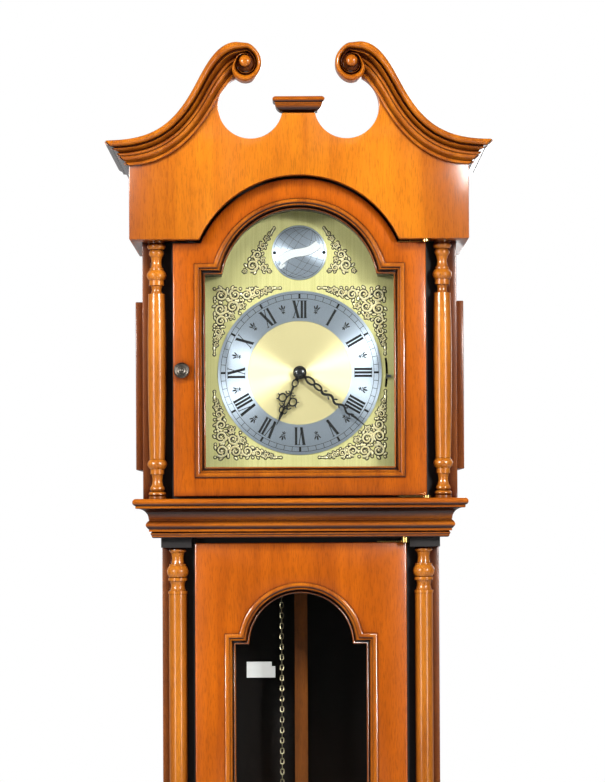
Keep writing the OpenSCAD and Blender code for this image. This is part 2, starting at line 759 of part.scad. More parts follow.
// The escape wheel has thin pointed teeth, all leaning the same way.
module escape_wheel() color(brass) {
    back = atan2(third_z - escape_z, third_x);
    pinion(0, escape_z, -26, -17, pinion_n, third_m, back);
    upright(0, 2.5) translate([0, escape_z]) difference() {
        union() {
            circle(escape_r - 4);
            for (i = [0:escape_n - 1]) rotate(360 * i / escape_n) polygon([
                [escape_r - 4.4, -1.6], [escape_r * cos(3), escape_r * sin(3)],
                [escape_r * cos(4), escape_r * sin(4)], [escape_r - 4.4, 1.2],
            ]);
        }
        difference() {
            circle(escape_r - 6.5);
            circle(6);
            for (a = [0:90:179]) rotate(a) square([60, 3.4], center = true);
        }
        circle(1.9);
    }
    arbor(0, escape_z, 2);
}

module anchor() color(steel) {
    reach = escape_r * sqrt(0.5) + 3.4;
    upright(0, 3) translate([0, anchor_z]) {
        circle(6);
        both_sides() polygon([[0, 3], [reach, -6], [reach + 1, -14.5], [reach - 2.6, -14],
            [reach - 4, -8.4], [0, -3]]);
    }
    rod(0, anchor_z, front_plate_y, pendulum_y - 8, 2);
    block([-3, pendulum_y - 11, anchor_z - 96], [3, pendulum_y - 9, anchor_z + 3]);
    block([-12, pendulum_y - 11, anchor_z - 96], [12, pendulum_y - 8, anchor_z - 91]);
    both_sides() block([10.2, pendulum_y - 8, anchor_z - 96], [12, pendulum_y + 6, anchor_z - 91]);
}

module pendulum_stick() color(light_wood) {
    block([-stick_half, pendulum_y - 4, bob_z - bob_r + 4], [stick_half, pendulum_y + 4, anchor_z - 9]);
    block([-5, pendulum_y - 0.4, anchor_z - 12], [5, pendulum_y + 0.4, anchor_z + 12]);
    translate([0, pendulum_y, bob_z - bob_r - 26]) cylinder(h = 32, r = 2);
}

module pendulum_bob() color(brass) difference() {
    translate([0, pendulum_y, bob_z]) rotate([90, 0, 0]) rotate_extrude($fn = 96) polygon(concat(
        [[0, -13]], [for (i = [0:10]) [(bob_r - 1.5) * sin(9 * i), -13 * cos(9 * i) - 0]],
        [for (i = [1:10]) [(bob_r - 1.5) * cos(9 * i), 13 * sin(9 * i)]]));
    block([-stick_half - 0.05, pendulum_y - 4.05, bob_z - bob_r - 1],
        [stick_half + 0.05, pendulum_y + 4.05, bob_z + bob_r + 1]);
}

module rating_nut() color(brass) difference() {
    translate([0, pendulum_y, bob_z - bob_r - 9]) cylinder(h = 8, r = 9);
    translate([0, pendulum_y, bob_z - bob_r - 10]) cylinder(h = 10, r = 2.05);
}

module chain(x, z0) color(brass) translate([x, 0, z0]) cylinder(h = great_z - 3 - z0, r = chain_r);
module chain_weight_side() chain(-chain_x, chain_bottom);
module chain_free_side() chain(chain_x, free_bottom);

module chain_ring() color(brass) translate([chain_x, 0, free_bottom - chain_ring_r])
    rotate([90, 0, 0]) rotate_extrude() translate([chain_ring_r - ring_wire, 0]) circle(ring_wire);

module weight() color(brass) translate([-chain_x, 0, 0]) {
    turned(concat([[weight_r - 2, weight_top - weight_len]],
        [[weight_r, weight_top - weight_len + 3], [weight_r, weight_top - 3], [weight_r - 2, weight_top]]));
    translate([0, 0, weight_top - 1]) cylinder(h = 14, r = 2);
    translate([0, 0, weight_top + 17]) rotate([90, 0, 0]) rotate_extrude() translate([5, 0]) circle(1.6);
}

module strike_hammer() color(steel) {
    rod(hammer_x, hammer_z, front_plate_y, back_plate_y + plate_t, pivot_r);
    block([hammer_x - 1.5, -3, hammer_z - 2], [hammer_x + 1.5, 3, bell_z + 8]);
    translate([bell_x + bell_r + 2.5, 0, bell_z + 4]) rotate([0, 90, 0]) cylinder(h = 18, r = 5);
}

module silent_lever() color(steel) {
    turn = -2.4;
    upright(dial_front + dial_t + gap, dial_front + dial_t + gap + 1.6) {
        translate([0, dial_z]) difference() {
            circle(14);
            circle(9);
        }
        translate([0, dial_z]) rotate(turn) translate([12, -3.5]) square([slot_r - 10, 7]);
    }
    translate([0, 0, dial_z]) rotate([0, -turn, 0]) {
        rod(slot_r, 0, dial_front - 3, dial_front + dial_t + gap, 1.2);
        block([slot_r - 1.2, dial_front - 5, -2], [slot_r + 6.4, dial_front - 2.4, 2]);
    }
}

base_boards();
base_front_panel();
base_skirt();
base_top_moulding();
trunk_sides();
trunk_front_frame();
trunk_columns();
back_board();
paper_label();
waist_moulding();
seat_board();
hood_base_frame();
hood_sides();
hood_columns();
dial_mask();
frieze_boards();
swan_neck_mouldings();
crown_returns();
plinth_cap();
hood_roof();
hinge_pins();
dial_plate();
chapter_ring();
arch_boss();
spandrels();
movement_plates();
movement_pillars();
suspension_cock();
bell();
hood_door_frame();
hood_door_moulding();
hood_door_glass();
hood_door_knob();
hood_door_straps();
trunk_door_frame();
trunk_door_moulding();
trunk_door_glass();
trunk_door_knob();
trunk_door_straps();
side_panel_left();
side_panel_right();
minute_hand();
centre_arbor();
minute_wheel();
hour_wheel();
hour_hand();
great_wheel();
third_wheel();
escape_wheel();
chain_sprocket();
chain_weight_side();
chain_free_side();
chain_ring();
weight();
anchor();
pendulum_stick();
pendulum_bob();
rating_nut();
strike_hammer();
silent_lever();
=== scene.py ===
# %% [markdown]
# # A grandfather clock, in cells
# The clock is a tall case of lacquered wood with a brass dial behind a glass door. Its frame, which
# holds every size, joint and plain solid, is loaded first. Each cell after that gives one piece or one
# finish the detail that a joiner, a brass founder or a dial maker would give it.

# %% Load the frame
import json
import math

import bmesh
import bpy
from mathutils import Matrix, Vector


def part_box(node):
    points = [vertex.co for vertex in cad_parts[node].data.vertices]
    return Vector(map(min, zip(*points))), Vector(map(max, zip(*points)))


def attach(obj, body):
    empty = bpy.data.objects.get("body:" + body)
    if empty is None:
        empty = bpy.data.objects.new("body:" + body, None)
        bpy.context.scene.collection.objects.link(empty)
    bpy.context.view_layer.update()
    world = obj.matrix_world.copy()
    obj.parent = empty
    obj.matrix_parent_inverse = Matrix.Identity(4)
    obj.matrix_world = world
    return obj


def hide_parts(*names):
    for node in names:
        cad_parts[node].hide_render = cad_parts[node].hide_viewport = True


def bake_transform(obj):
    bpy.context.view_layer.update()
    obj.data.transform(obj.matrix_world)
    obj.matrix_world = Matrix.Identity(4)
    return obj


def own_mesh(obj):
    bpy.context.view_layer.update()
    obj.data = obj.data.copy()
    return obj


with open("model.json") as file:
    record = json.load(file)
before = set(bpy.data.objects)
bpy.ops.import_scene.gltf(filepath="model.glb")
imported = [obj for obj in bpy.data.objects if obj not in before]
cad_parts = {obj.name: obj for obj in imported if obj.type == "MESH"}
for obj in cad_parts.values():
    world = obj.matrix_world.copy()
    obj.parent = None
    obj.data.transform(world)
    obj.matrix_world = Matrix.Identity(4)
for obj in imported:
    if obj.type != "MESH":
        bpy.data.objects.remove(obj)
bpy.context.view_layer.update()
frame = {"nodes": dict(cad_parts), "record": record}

MM = 0.001
FULL_TURN = 2 * math.pi

# %% [markdown]
# ## Where the camera stands
# A tall clock is best seen from about four metres away with a long lens, so that its sides stay
# parallel. The camera stands level with the joint between trunk and hood. A little upward tilt and a
# little lens shift together bring the pediment into view without making the case lean.

# %% Camera
scene = bpy.context.scene
DOOR_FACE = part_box("hood_door_frame")[0].y
CAMERA_AWAY = 4.15
CAMERA_LEVEL = 1.37
CAMERA_TILT = math.radians(90.8)
CAMERA_ROLL = math.radians(0.27)
LENS_SHIFT = (0.0026, 0.11)
VIEW_HEIGHT = 1.126
SENSOR = 24.0


def placed(name, data):
    """A new object in the scene that shows the given data."""
    thing = bpy.data.objects.new(name, data)
    scene.collection.objects.link(thing)
    return thing


camera_data = bpy.data.cameras.new("camera")
camera_data.sensor_fit = "VERTICAL"
camera_data.sensor_height = SENSOR
camera_data.lens = SENSOR * CAMERA_AWAY / VIEW_HEIGHT
camera_data.shift_x, camera_data.shift_y = LENS_SHIFT
camera_data.clip_end = 60
camera = placed("camera", camera_data)
camera.location = (0, DOOR_FACE - CAMERA_AWAY, CAMERA_LEVEL)
camera.rotation_euler = (CAMERA_TILT, CAMERA_ROLL, 0)
scene.camera = camera
scene.view_settings.view_transform = "Standard"
print("camera:", round(camera_data.lens, 1), "mm lens")

# %% [markdown]
# ## The studio
# Lacquer and brass show what is around them, so the studio is built for what they reflect. A small box
# high at each side gives the crisp shadows. A small lamp and a tall strip beside each one only glint: the
# first draws the bright fans on the turned brass, and the second the lines down every column. A wide box
# high in front only fills the shadows, and a large one behind lights the back.


# %% Lamps
def soft_box(name, where, aim, wide, high, power, only=None):
    """A rectangular lamp at a place, turned to face another place. only limits it to glint or to fill."""
    lamp = bpy.data.lights.new(name, "AREA")
    lamp.shape = "RECTANGLE"
    lamp.size, lamp.size_y, lamp.energy = wide, high, power
    stand = placed(name, lamp)
    stand.location = where
    stand.rotation_euler = (Vector(aim) - Vector(where)).to_track_quat("-Z", "Y").to_euler()
    stand.visible_glossy = only != "fill"
    stand.visible_diffuse = only != "glint"


AIM = (0, 0, 1.6)
soft_box("left_box", (-2.1, -1.75, 2.3), AIM, 0.4, 0.5, 50)
soft_box("right_box", (1.5, -2.55, 2.3), AIM, 0.35, 0.5, 44)
soft_box("front_fill", (0, -2.5, 3.6), AIM, 2.0, 0.7, 80, "fill")
soft_box("left_glint", (-1.9, -2.3, 2.3), AIM, 0.35, 0.45, 48, "glint")
soft_box("left_strip", (-1.9, -2.3, 1.5), AIM, 0.4, 1.4, 26, "glint")
soft_box("right_glint", (1.9, -2.3, 2.3), AIM, 0.35, 0.45, 48, "glint")
soft_box("right_strip", (1.9, -2.3, 1.5), AIM, 0.4, 1.4, 26, "glint")
soft_box("back_fill", (1.2, 3.4, 2.6), AIM, 2.0, 2.0, 60)
print("lamps:", len(bpy.data.lights))

# %% [markdown]
# ## How a finish is put together
# Every finish is a small tree of nodes that ends in one shader. The helper below adds a node, sets its
# plain values, and joins the inputs that come from other nodes, so that a finish reads as a short list.
# The room's light is such a tree too.


# %% Node helpers
def empty_tree(owner):
    """Clears the node tree of a material or world, and gives a function that adds joined nodes to it."""
    owner.use_nodes = True
    tree = owner.node_tree
    tree.nodes.clear()

    def add(kind, settings=None, **inputs):
        made = tree.nodes.new("ShaderNode" + kind)
        for key, value in (settings or {}).items():
            setattr(made, key, value)
        for key, value in inputs.items():
            numbered = key[0] == "i" and key[1:].isdigit()
            socket = made.inputs[int(key[1:]) if numbered else key.replace("_", " ")]
            if isinstance(value, bpy.types.NodeSocket):
                tree.links.new(value, socket)
            else:
                socket.default_value = value
        return made

    return add


def new_finish(name):
    """A function that adds nodes to a new material, and one that ends it with its shader."""
    material = bpy.data.materials.new(name)
    add = empty_tree(material)

    def finish(shader):
        add("OutputMaterial", Surface=shader)
        FINISHES[name] = material

    return add, finish


def colour_ramp(add, value, *stops):
    """A ramp of colours: each stop is a place from 0 to 1 and a colour."""
    made = add("ValToRGB", Fac=value)
    elements = made.color_ramp.elements
    while len(elements) < len(stops):
        elements.new(0.5)
    for element, (place, colour) in zip(elements, stops):
        element.position = place
        element.color = (*colour, 1)
    return made.outputs[0]


def stretched(add, scale):
    """Object coordinates, scaled differently along each axis."""
    where = add("TexCoord").outputs["Object"]
    return add("Mapping", Vector=where, Scale=scale).outputs[0]


FINISHES = {}
print("node helpers ready")

# %% [markdown]
# ## The room around
# Polished faces also show the room. It is pale behind the clock and nearly black in front of it, so they
# keep their colour. Lamps alone would leave out the thin pale rim that a studio gives the edges of the
# case. The camera sees plain white instead of the room.

# %% Room
ROOM_TURNS = (-0.1, 0.8)
ROOM_LIGHT = (0.03, 0.5)
world = bpy.data.worlds.new("studio")
scene.world = world
add = empty_tree(world)
backward = add("SeparateXYZ", Vector=add("TexCoord").outputs["Generated"]).outputs["Y"]
light = add("MapRange", Value=backward, From_Min=ROOM_TURNS[0], From_Max=ROOM_TURNS[1],
            To_Min=ROOM_LIGHT[0], To_Max=ROOM_LIGHT[1]).outputs[0]
room = add("Background", Strength=light).outputs[0]
white = add("Background", Color=(1, 1, 1, 1), Strength=1.0).outputs[0]
by_camera = add("LightPath").outputs["Is Camera Ray"]
add("OutputWorld", Surface=add("MixShader", i0=by_camera, i1=room, i2=white).outputs[0])
print("room: from", ROOM_LIGHT[0], "in front to", ROOM_LIGHT[1], "behind")

# %% [markdown]
# ## Lacquered wood
# The case is veneered, stained and sprayed with toned lacquer, honey coloured. Every corner gets painted
# shade. The fine upright flecks are the pores of the veneer. Noise that is squeezed sideways and long
# upright makes both the soft bands and the flecks. The occlusion node finds the corners, so the painted
# shade darkens them wherever they are. The broad frieze is darker towards its ends, and mouldings get
# painted shade on the sides that face down.


# %% Wood finish
PORE_SCALE, BAND_SCALE, CLOUD_SCALE = 900, 38, 7.0
OCCLUSION = {"samples": 6}
WHITE = (1, 1, 1)


def multiplied(add, first, second, share=1.0):
    """Two colours multiplied together."""
    return add("MixRGB", {"blend_type": "MULTIPLY"}, Fac=share, Color1=first, Color2=second).outputs[0]


def wood(name, light, deep, corner, along=(1, 1, 0.09), fleck=0.35, shade_reach=0.035, gloss=0.09, dark_at=0.35,
         end_darkening=None, turned=None):
    """Stained wood under gloss lacquer, with its grain along the squeezed axis.

    end_darkening gives two distances from the middle between which the board gets darker. turned gives an
    axis, two values of the normal along it, and the tint of the painted shade on the faces below the first.
    """
    add, finish = new_finish(name)
    fine = add("TexNoise", Vector=stretched(add, tuple(PORE_SCALE * a for a in along)), Scale=1.0,
               Detail=3.0, Roughness=0.6).outputs[0]
    bands = add("TexNoise", Vector=stretched(add, tuple(BAND_SCALE * a for a in along)), Scale=1.0,
                Detail=4.0, Roughness=0.55, Distortion=0.6).outputs[0]
    place = add("TexCoord").outputs["Object"]
    cloud = add("TexNoise", Vector=place, Scale=CLOUD_SCALE, Detail=2.0).outputs[0]
    ground = colour_ramp(add, bands, (0.3, deep), (0.68, light))
    shade = colour_ramp(add, cloud, (0.32, (0.78, 0.74, 0.7)), (0.66, (1.06, 1.06, 1.04)))
    stained = multiplied(add, ground, shade, 0.75)
    pores = colour_ramp(add, fine, (0.36, (1 - fleck, 1 - fleck, 1 - fleck)), (0.5, WHITE))
    grained = multiplied(add, stained, pores, 0.8)
    # The board gets darker between two distances from its middle.
    if end_darkening:
        across = add("SeparateXYZ", Vector=place).outputs["X"]
        away = add("Math", {"operation": "ABSOLUTE"}, i0=across).outputs[0]
        edge = add("MapRange", {"interpolation_type": "SMOOTHSTEP"}, Value=away, From_Min=end_darkening[0],
                   From_Max=end_darkening[1]).outputs[0]
        grained = multiplied(add, grained, colour_ramp(add, edge, (0.0, WHITE), (1.0, (0.62, 0.5, 0.42))))
    # Painted shade on the faces whose normal along the axis is below the first value.
    if turned:
        axis, low, high, tint = turned
        facing = add("SeparateXYZ", Vector=add("NewGeometry").outputs["Normal"]).outputs[axis]
        side = add("MapRange", Value=facing, From_Min=low, From_Max=high).outputs[0]
        grained = multiplied(add, grained, colour_ramp(add, side, (0.0, tint), (1.0, WHITE)))
    # Painted shade: the occlusion node darkens corners and hollows towards the corner tint.
    hidden = add("AmbientOcclusion", OCCLUSION, Distance=shade_reach).outputs["AO"]
    open_part = add("MapRange", Value=hidden, From_Min=dark_at, From_Max=0.95).outputs[0]
    final = multiplied(add, grained, colour_ramp(add, open_part, (0.0, corner), (1.0, WHITE)))
    bump = add("Bump", Strength=0.05, Distance=0.0004, Height=fine).outputs[0]
    finish(add("BsdfPrincipled", Base_Color=final, Roughness=0.42, IOR=1.5, Specular_IOR_Level=0.1,
               Coat_Weight=0.7, Coat_Roughness=gloss, Coat_IOR=1.5, Normal=bump).outputs[0])


print("wood grain scales:", PORE_SCALE, BAND_SCALE, CLOUD_SCALE)

# %% Woods of the case
# Tints of painted shade: in corners, in the hollows of mouldings, in the grooves of turnings, and on faces
# turned down or inwards.
CORNER_SHADE, HOLLOW_SHADE, GROOVE_SHADE = (0.30, 0.14, 0.08), (0.03, 0.008, 0.002), (0.16, 0.08, 0.05)
UNDERSIDE_SHADE = ("Z", -0.6, 0.05, (0.07, 0.04, 0.02))
INNER_FACE_SHADE = ("Y", 0.1, 0.5, (0.05, 0.04, 0.04))
UPRIGHT, LEVEL = (1, 1, 0.09), (0.09, 1, 1)
wood("case_veneer", (0.74, 0.225, 0.006), (0.58, 0.155, 0.004), CORNER_SHADE, shade_reach=0.06, gloss=0.2,
     end_darkening=(0.12, 0.25))
wood("door_veneer", (0.57, 0.122, 0.001), (0.40, 0.078, 0.0006), CORNER_SHADE, shade_reach=0.012, gloss=0.12)
for name, along in (("moulding_wood", UPRIGHT), ("moulding_across", LEVEL)):
    wood(name, (0.62, 0.17, 0.006), (0.34, 0.07, 0.002), HOLLOW_SHADE, along, shade_reach=0.045, gloss=0.1, dark_at=0.6,
         turned=UNDERSIDE_SHADE)
wood("column_wood", (0.66, 0.22, 0.016), (0.40, 0.105, 0.007), GROOVE_SHADE, shade_reach=0.02, gloss=0.15)
wood("stick_wood", (0.30, 0.085, 0.008), (0.16, 0.04, 0.004), GROOVE_SHADE, shade_reach=0.01, gloss=0.3)
wood("neck_wood", (0.62, 0.18, 0.006), (0.36, 0.08, 0.002), (0.12, 0.05, 0.02), shade_reach=0.02, gloss=0.12)
wood("side_wood", (0.36, 0.10, 0.008), (0.22, 0.05, 0.004), CORNER_SHADE, fleck=0.3, shade_reach=0.03, gloss=0.2)
# The inside of the case is nearly black: painted shade, because little light gets in there.
wood("inside_wood", (0.010, 0.004, 0.003), (0.006, 0.0025, 0.002), (0.5, 0.4, 0.4), fleck=0.3, shade_reach=0.05,
     gloss=0.5)
# The planks' inner faces get painted shade, nearly black.
wood("back_wood", (0.20, 0.09, 0.035), (0.12, 0.05, 0.018), CORNER_SHADE, fleck=0.4, shade_reach=0.006, gloss=0.5,
     turned=INNER_FACE_SHADE)
print("wood finishes:", len(FINISHES))

# %% [markdown]
# ## Brass, silver and steel
# Metal shows its making in the direction of its scratches. A turned or spun disc has them in circles, so
# light from the side draws a bright fan to the left and right of its middle. A sheet that was drawn over a
# belt has them in straight lines. The shader's anisotropy does this, with the tangent set round or along.


# %% Metal finish
ACROSS_SCRATCHES = 0.25


def metal(name, colour, worn, rough, grain_scale=(60, 60, 60), around=None, aniso=0.0, dark=None,
          dark_reach=0.003, bump_by=0.03, bare=1.0):
    """A metal with a faint grain. around sets circular brushing about an axis, and dark an aged hollow."""
    add, finish = new_finish(name)
    grain = add("TexNoise", Vector=stretched(add, grain_scale), Scale=1.0, Detail=5.0,
                Roughness=0.6).outputs[0]
    skin = colour_ramp(add, grain, (0.3, worn), (0.7, colour))
    if dark:
        hidden = add("AmbientOcclusion", OCCLUSION, Distance=dark_reach).outputs["AO"]
        open_part = add("MapRange", Value=hidden, From_Min=0.45, From_Max=0.92).outputs[0]
        skin = add("MixRGB", Fac=open_part, Color1=(*dark, 1), Color2=skin).outputs[0]
    rough_map = add("MapRange", Value=grain, To_Min=rough * 0.8, To_Max=rough * 1.2).outputs[0]
    bump = add("Bump", Strength=bump_by, Distance=0.0003, Height=grain).outputs[0]
    brushed = {}
    if around:
        circles = add("Tangent", {"direction_type": "RADIAL", "axis": around}).outputs[0]
        brushed = {"Tangent": circles, "Anisotropic_Rotation": ACROSS_SCRATCHES}
    finish(add("BsdfPrincipled", Base_Color=skin, Metallic=bare, Roughness=rough_map, Anisotropic=aniso,
               Normal=bump, **brushed).outputs[0])


print("metal helper ready")

# %% Metals of the dial and the movement
woods = len(FINISHES)
metal("brass", (0.90, 0.62, 0.22), (0.76, 0.48, 0.15), 0.22)
metal("dial_brass", (0.80, 0.74, 0.34), (0.66, 0.60, 0.24), 0.42, (900, 900, 9), bump_by=0.05, bare=0.45)
metal("dial_gold", (1.0, 0.88, 0.50), (0.82, 0.68, 0.32), 0.38, (1400, 1400, 1400), "Y", 0.85, bump_by=0.16,
      bare=0.45)
metal("spandrel_brass", (1.0, 0.93, 0.62), (0.95, 0.80, 0.42), 0.2, (240, 240, 240),
      dark=(0.06, 0.035, 0.012), dark_reach=0.0006, bare=0.3)
metal("silvered_ring", (0.62, 0.69, 0.80), (0.54, 0.61, 0.72), 0.34, (700, 700, 700), "Y", 0.85, bare=0.75)
metal("chain_brass", (0.62, 0.54, 0.34), (0.40, 0.33, 0.20), 0.3)
metal("steel", (0.55, 0.56, 0.58), (0.42, 0.43, 0.45), 0.3)
metal("bell_metal", (0.78, 0.76, 0.70), (0.68, 0.66, 0.6), 0.12)
metal("bronze_knob", (0.12, 0.105, 0.085), (0.06, 0.052, 0.045), 0.4, (300, 300, 300),
      dark=(0.02, 0.02, 0.02), dark_reach=0.004)
metal("ribbon_silver", (0.86, 0.87, 0.89), (0.80, 0.81, 0.83), 0.35, (300, 300, 300), bare=0.3)
# The black ground under the castings: patina and painted shade around them.
metal("patina_and_shade_ground", (0.012, 0.009, 0.005), (0.006, 0.004, 0.002), 0.6, (200, 200, 200), bare=0.1)
print("metal finishes:", len(FINISHES) - woods)

# %% [markdown]
# ## Black, paper and glass
# The hands are blacked steel, the numerals are black wax, and a small paper label is glued to the back of
# the trunk. The label gets a faint glow, because hardly any lamp reaches it. The panes could be solid
# refracting glass, but a thin flat pane bends nothing: light goes straight through it, and only the share
# that the slant gives is mirrored. This lets the lamps light the dial behind it without noise.


# %% Plain finishes
def plain(name, colour, speck, rough, coat, scale, glow=0.0):
    """A finish that isn't metal or wood: a base with faint specks, and an optional gloss coat."""
    add, finish = new_finish(name)
    grain = add("TexNoise", Vector=add("TexCoord").outputs["Object"], Scale=scale, Detail=4.0).outputs[0]
    skin = colour_ramp(add, grain, (0.35, speck), (0.65, colour))
    bump = add("Bump", Strength=0.04, Distance=0.0003, Height=grain).outputs[0]
    finish(add("BsdfPrincipled", Base_Color=skin, Roughness=rough, Coat_Weight=coat, Coat_Roughness=0.15,
               Emission_Color=(*colour, 1), Emission_Strength=glow, Normal=bump).outputs[0])


plain("black_hands", (0.010, 0.010, 0.012), (0.004, 0.004, 0.005), 0.35, 0.6, 400)
plain("dial_ink", (0.002, 0.002, 0.004), (0.001, 0.001, 0.002), 0.8, 0.0, 300)
plain("label_paper", (1.0, 0.99, 0.96), (0.93, 0.92, 0.88), 0.7, 0.0, 220, 0.55)
plain("pale_floor", (0.90, 0.89, 0.87), (0.86, 0.85, 0.83), 0.6, 0.0, 3)


def clear_glass(name):
    """A pane that lets light and shadow through and shows reflections where it is seen aslant."""
    add, finish = new_finish(name)
    waves = add("TexNoise", Vector=add("TexCoord").outputs["Object"], Scale=5.0).outputs[0]
    ripple = add("Bump", Strength=0.02, Distance=0.0005, Height=waves).outputs[0]
    mirror = add("BsdfGlossy", Roughness=0.0, Normal=ripple).outputs[0]
    through = add("BsdfTransparent", Color=(0.97, 0.985, 0.98, 1)).outputs[0]
    slant = add("Fresnel", IOR=1.18, Normal=ripple).outputs[0]
    finish(add("MixShader", i0=slant, i1=through, i2=mirror).outputs[0])


clear_glass("glass")
print("finishes:", sorted(FINISHES))

# %% [markdown]
# ## Finishes on the frame's own solids
# A solid whose shape is right keeps its mesh and only gets its finish. The record names a slot for each,
# and the finishes above carry the same names, so one loop dresses them all.

# %% Dress the frame
OWN_FINISH = {"pendulum_stick": "stick_wood"}
for entry in frame["record"]["subparts"]:
    solid = frame["nodes"][entry["node"]]
    solid.data.materials.clear()
    solid.data.materials.append(FINISHES[OWN_FINISH.get(entry["node"], entry["material_slot"])])

# %% [markdown]
# ## How a piece is finished
# Each new piece starts as a bmesh. Its doubles are merged, its faces are turned outwards, and edges that
# are sharper than a crease angle stay sharp while the rest shade smoothly, as sanded wood does.


# %% Piece helpers
def make(name, bm, body, finish, replaces=(), crease=32, flip=True):
    """Turns a bmesh into a piece with its finish. Without a body, it is left unattached."""
    bmesh.ops.remove_doubles(bm, verts=bm.verts, dist=2e-6)
    if flip:
        bmesh.ops.recalc_face_normals(bm, faces=bm.faces)
    mesh = bpy.data.meshes.new(name)
    bm.to_mesh(mesh)
    bm.free()
    mesh.shade_smooth()
    mesh.set_sharp_from_angle(angle=math.radians(crease))
    mesh.materials.append(FINISHES[finish])
    piece = placed(name, mesh)
    if body:
        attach(piece, body)
    if replaces:
        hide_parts(*replaces)
    print(name + ":", len(mesh.polygons), "faces")
    return piece


def pour(bm, part):
    """Adds a small part to a larger one. Small parts are shaped alone, because operators slow with size."""
    mesh = bpy.data.meshes.new("part")
    part.to_mesh(mesh)
    part.free()
    bm.from_mesh(mesh)
    bpy.data.meshes.remove(mesh)


def sweep(whole, rings, close_path=False):
    """Extrudes one section along a path. rings holds the section's points at each stop of the path."""
    bm = bmesh.new()
    first = [bm.verts.new(p) for p in rings[0]]
    edges = [bm.edges.new(pair) for pair in zip(first, first[1:] + first[:1])]
    start, verts = list(edges), first
    for ring in rings[1:]:
        made = bmesh.ops.extrude_edge_only(bm, edges=edges)["geom"]
        fresh = {g for g in made if isinstance(g, bmesh.types.BMVert)}
        moved = []
        for vert, place in zip(verts, ring):
            twin = next(e.other_vert(vert) for e in vert.link_edges if e.other_vert(vert) in fresh)
            twin.co = place
            moved.append(twin)
        edges = [g for g in made if isinstance(g, bmesh.types.BMEdge)
                 and g.verts[0] in fresh and g.verts[1] in fresh]
        verts = moved
    if close_path:
        bmesh.ops.bridge_loops(bm, edges=start + edges)
    else:
        bmesh.ops.edgeloop_fill(bm, edges=start)
        bmesh.ops.edgeloop_fill(bm, edges=edges)
    bmesh.ops.recalc_face_normals(bm, faces=bm.faces)
    pour(whole, bm)


def turn(whole, profile, centre, steps):
    """Spins a profile of (radius, depth), in millimetres, about an axis that faces the front."""
    bm = bmesh.new()
    verts = [bm.verts.new(Vector(centre) + Vector((r * MM, y * MM, 0))) for r, y in profile]
    edges = [bm.edges.new(pair) for pair in zip(verts, verts[1:])]
    bmesh.ops.spin(bm, geom=verts + edges, cent=centre, axis=(0, 1, 0), dvec=(0, 0, 0), angle=FULL_TURN,
                   steps=steps, use_merge=True)
    bmesh.ops.remove_doubles(bm, verts=bm.verts, dist=2e-6)
    bmesh.ops.recalc_face_normals(bm, faces=bm.faces)
    pour(whole, bm)


def arc(cx, cy, r, a0, a1, steps):
    """Points along an arc, with its angles in degrees."""
    return [(cx + r * math.cos(math.radians(a0 + (a1 - a0) * i / steps)),
             cy + r * math.sin(math.radians(a0 + (a1 - a0) * i / steps))) for i in range(steps + 1)]


def bead(r, z0, z1, out, steps):
    """Points of a rounded bead."""
    return [(r + out * math.sin(math.pi * i / steps), z0 + (z1 - z0) * i / steps) for i in range(steps + 1)]


def curve(p, steps):
    """Points along a cubic curve with four control points."""
    found = []
    for i in range(steps + 1):
        t = i / steps
        s = 1 - t
        found.append(tuple(s ** 3 * a + 3 * s * s * t * b + 3 * s * t * t * c + t ** 3 * d
                           for a, b, c, d in zip(*p)))
    return found


def mirrored(bm):
    """Adds the same piece on the other side of the middle of the case."""
    bmesh.ops.mirror(bm, geom=bm.verts[:] + bm.edges[:] + bm.faces[:], matrix=Matrix.Identity(4),
                     merge_dist=-1, axis="X")


print("helpers ready")

# %% [markdown]
# ## The swan-neck mouldings
# A swan neck is cut from a solid block of wood and moulded by hand along its double curve, because no
# straight cutter can follow it. Its section narrows as it climbs. Here the section is given once, as a
# place across the band and a depth out from the board, and it is swept between the band's upper and
# lower edges. The upper strip, a broad round with a groove and a small bead, carries on past the top
# and winds round the eye to make the scroll.

# %% Swan-neck sections
FRIEZE_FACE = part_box("frieze_boards")[0].y
FRIEZE_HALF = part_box("frieze_boards")[1].x
CROWN_TOP, CROWN_FOOT = 1909, 1875.5
CROWN_REACH, SECTION_REACH = 32.5, 31
STRIP = 0.385

UPPER_EDGE = (curve([(-276.5, CROWN_TOP), (-215, CROWN_TOP), (-181.7, 1925.1), (-150, 1983)], 24)
              + curve([(-150, 1983), (-134.6, 2011), (-118, 2049), (-88, 2049)], 24)[1:])
LOWER_EDGE = (curve([(-244, CROWN_FOOT), (-189, CROWN_FOOT), (-148.3, 1914.7), (-121.5, 1961.6)], 24)
              + curve([(-121.5, 1961.6), (-112.6, 1977.2), (-98, 2001), (-82, 2009)], 24)[1:])

ROUND = [(0, 25.5), (0.03, 27.8), (0.1, 29.8), (0.22, 30.9), (0.36, 30.8), (0.5, 29.6), (0.6, 27.6),
         (0.66, 25), (0.67, 20.6), (0.72, 19.2), (0.8, 19), (0.855, 19.6), (0.86, 22.6), (0.89, 23.6),
         (0.93, 23.8), (0.97, 23), (0.98, 20.6)]
BELOW = [(0.37, 20.6), (0.385, 20.2), (0.41, 16.6), (0.45, 13.8), (0.495, 12.6), (0.5, 14.2), (0.52, 15.6),
         (0.56, 16.2), (0.6, 15.4), (0.625, 13.8), (0.63, 12.2), (0.648, 12), (0.65, 13.4), (0.68, 13.6),
         (0.73, 12.6), (0.775, 10.6), (0.795, 9), (0.8, 7.4), (0.83, 5.4), (0.875, 4.6), (0.88, 5.8),
         (0.9, 6.4), (0.96, 6.2), (0.99, 5.4), (1, 4.4)]


def mitre(depth):
    """Where the corner of the case is, for a line of the section that stands out by a depth."""
    return -FRIEZE_HALF - depth * MM * CROWN_REACH / SECTION_REACH


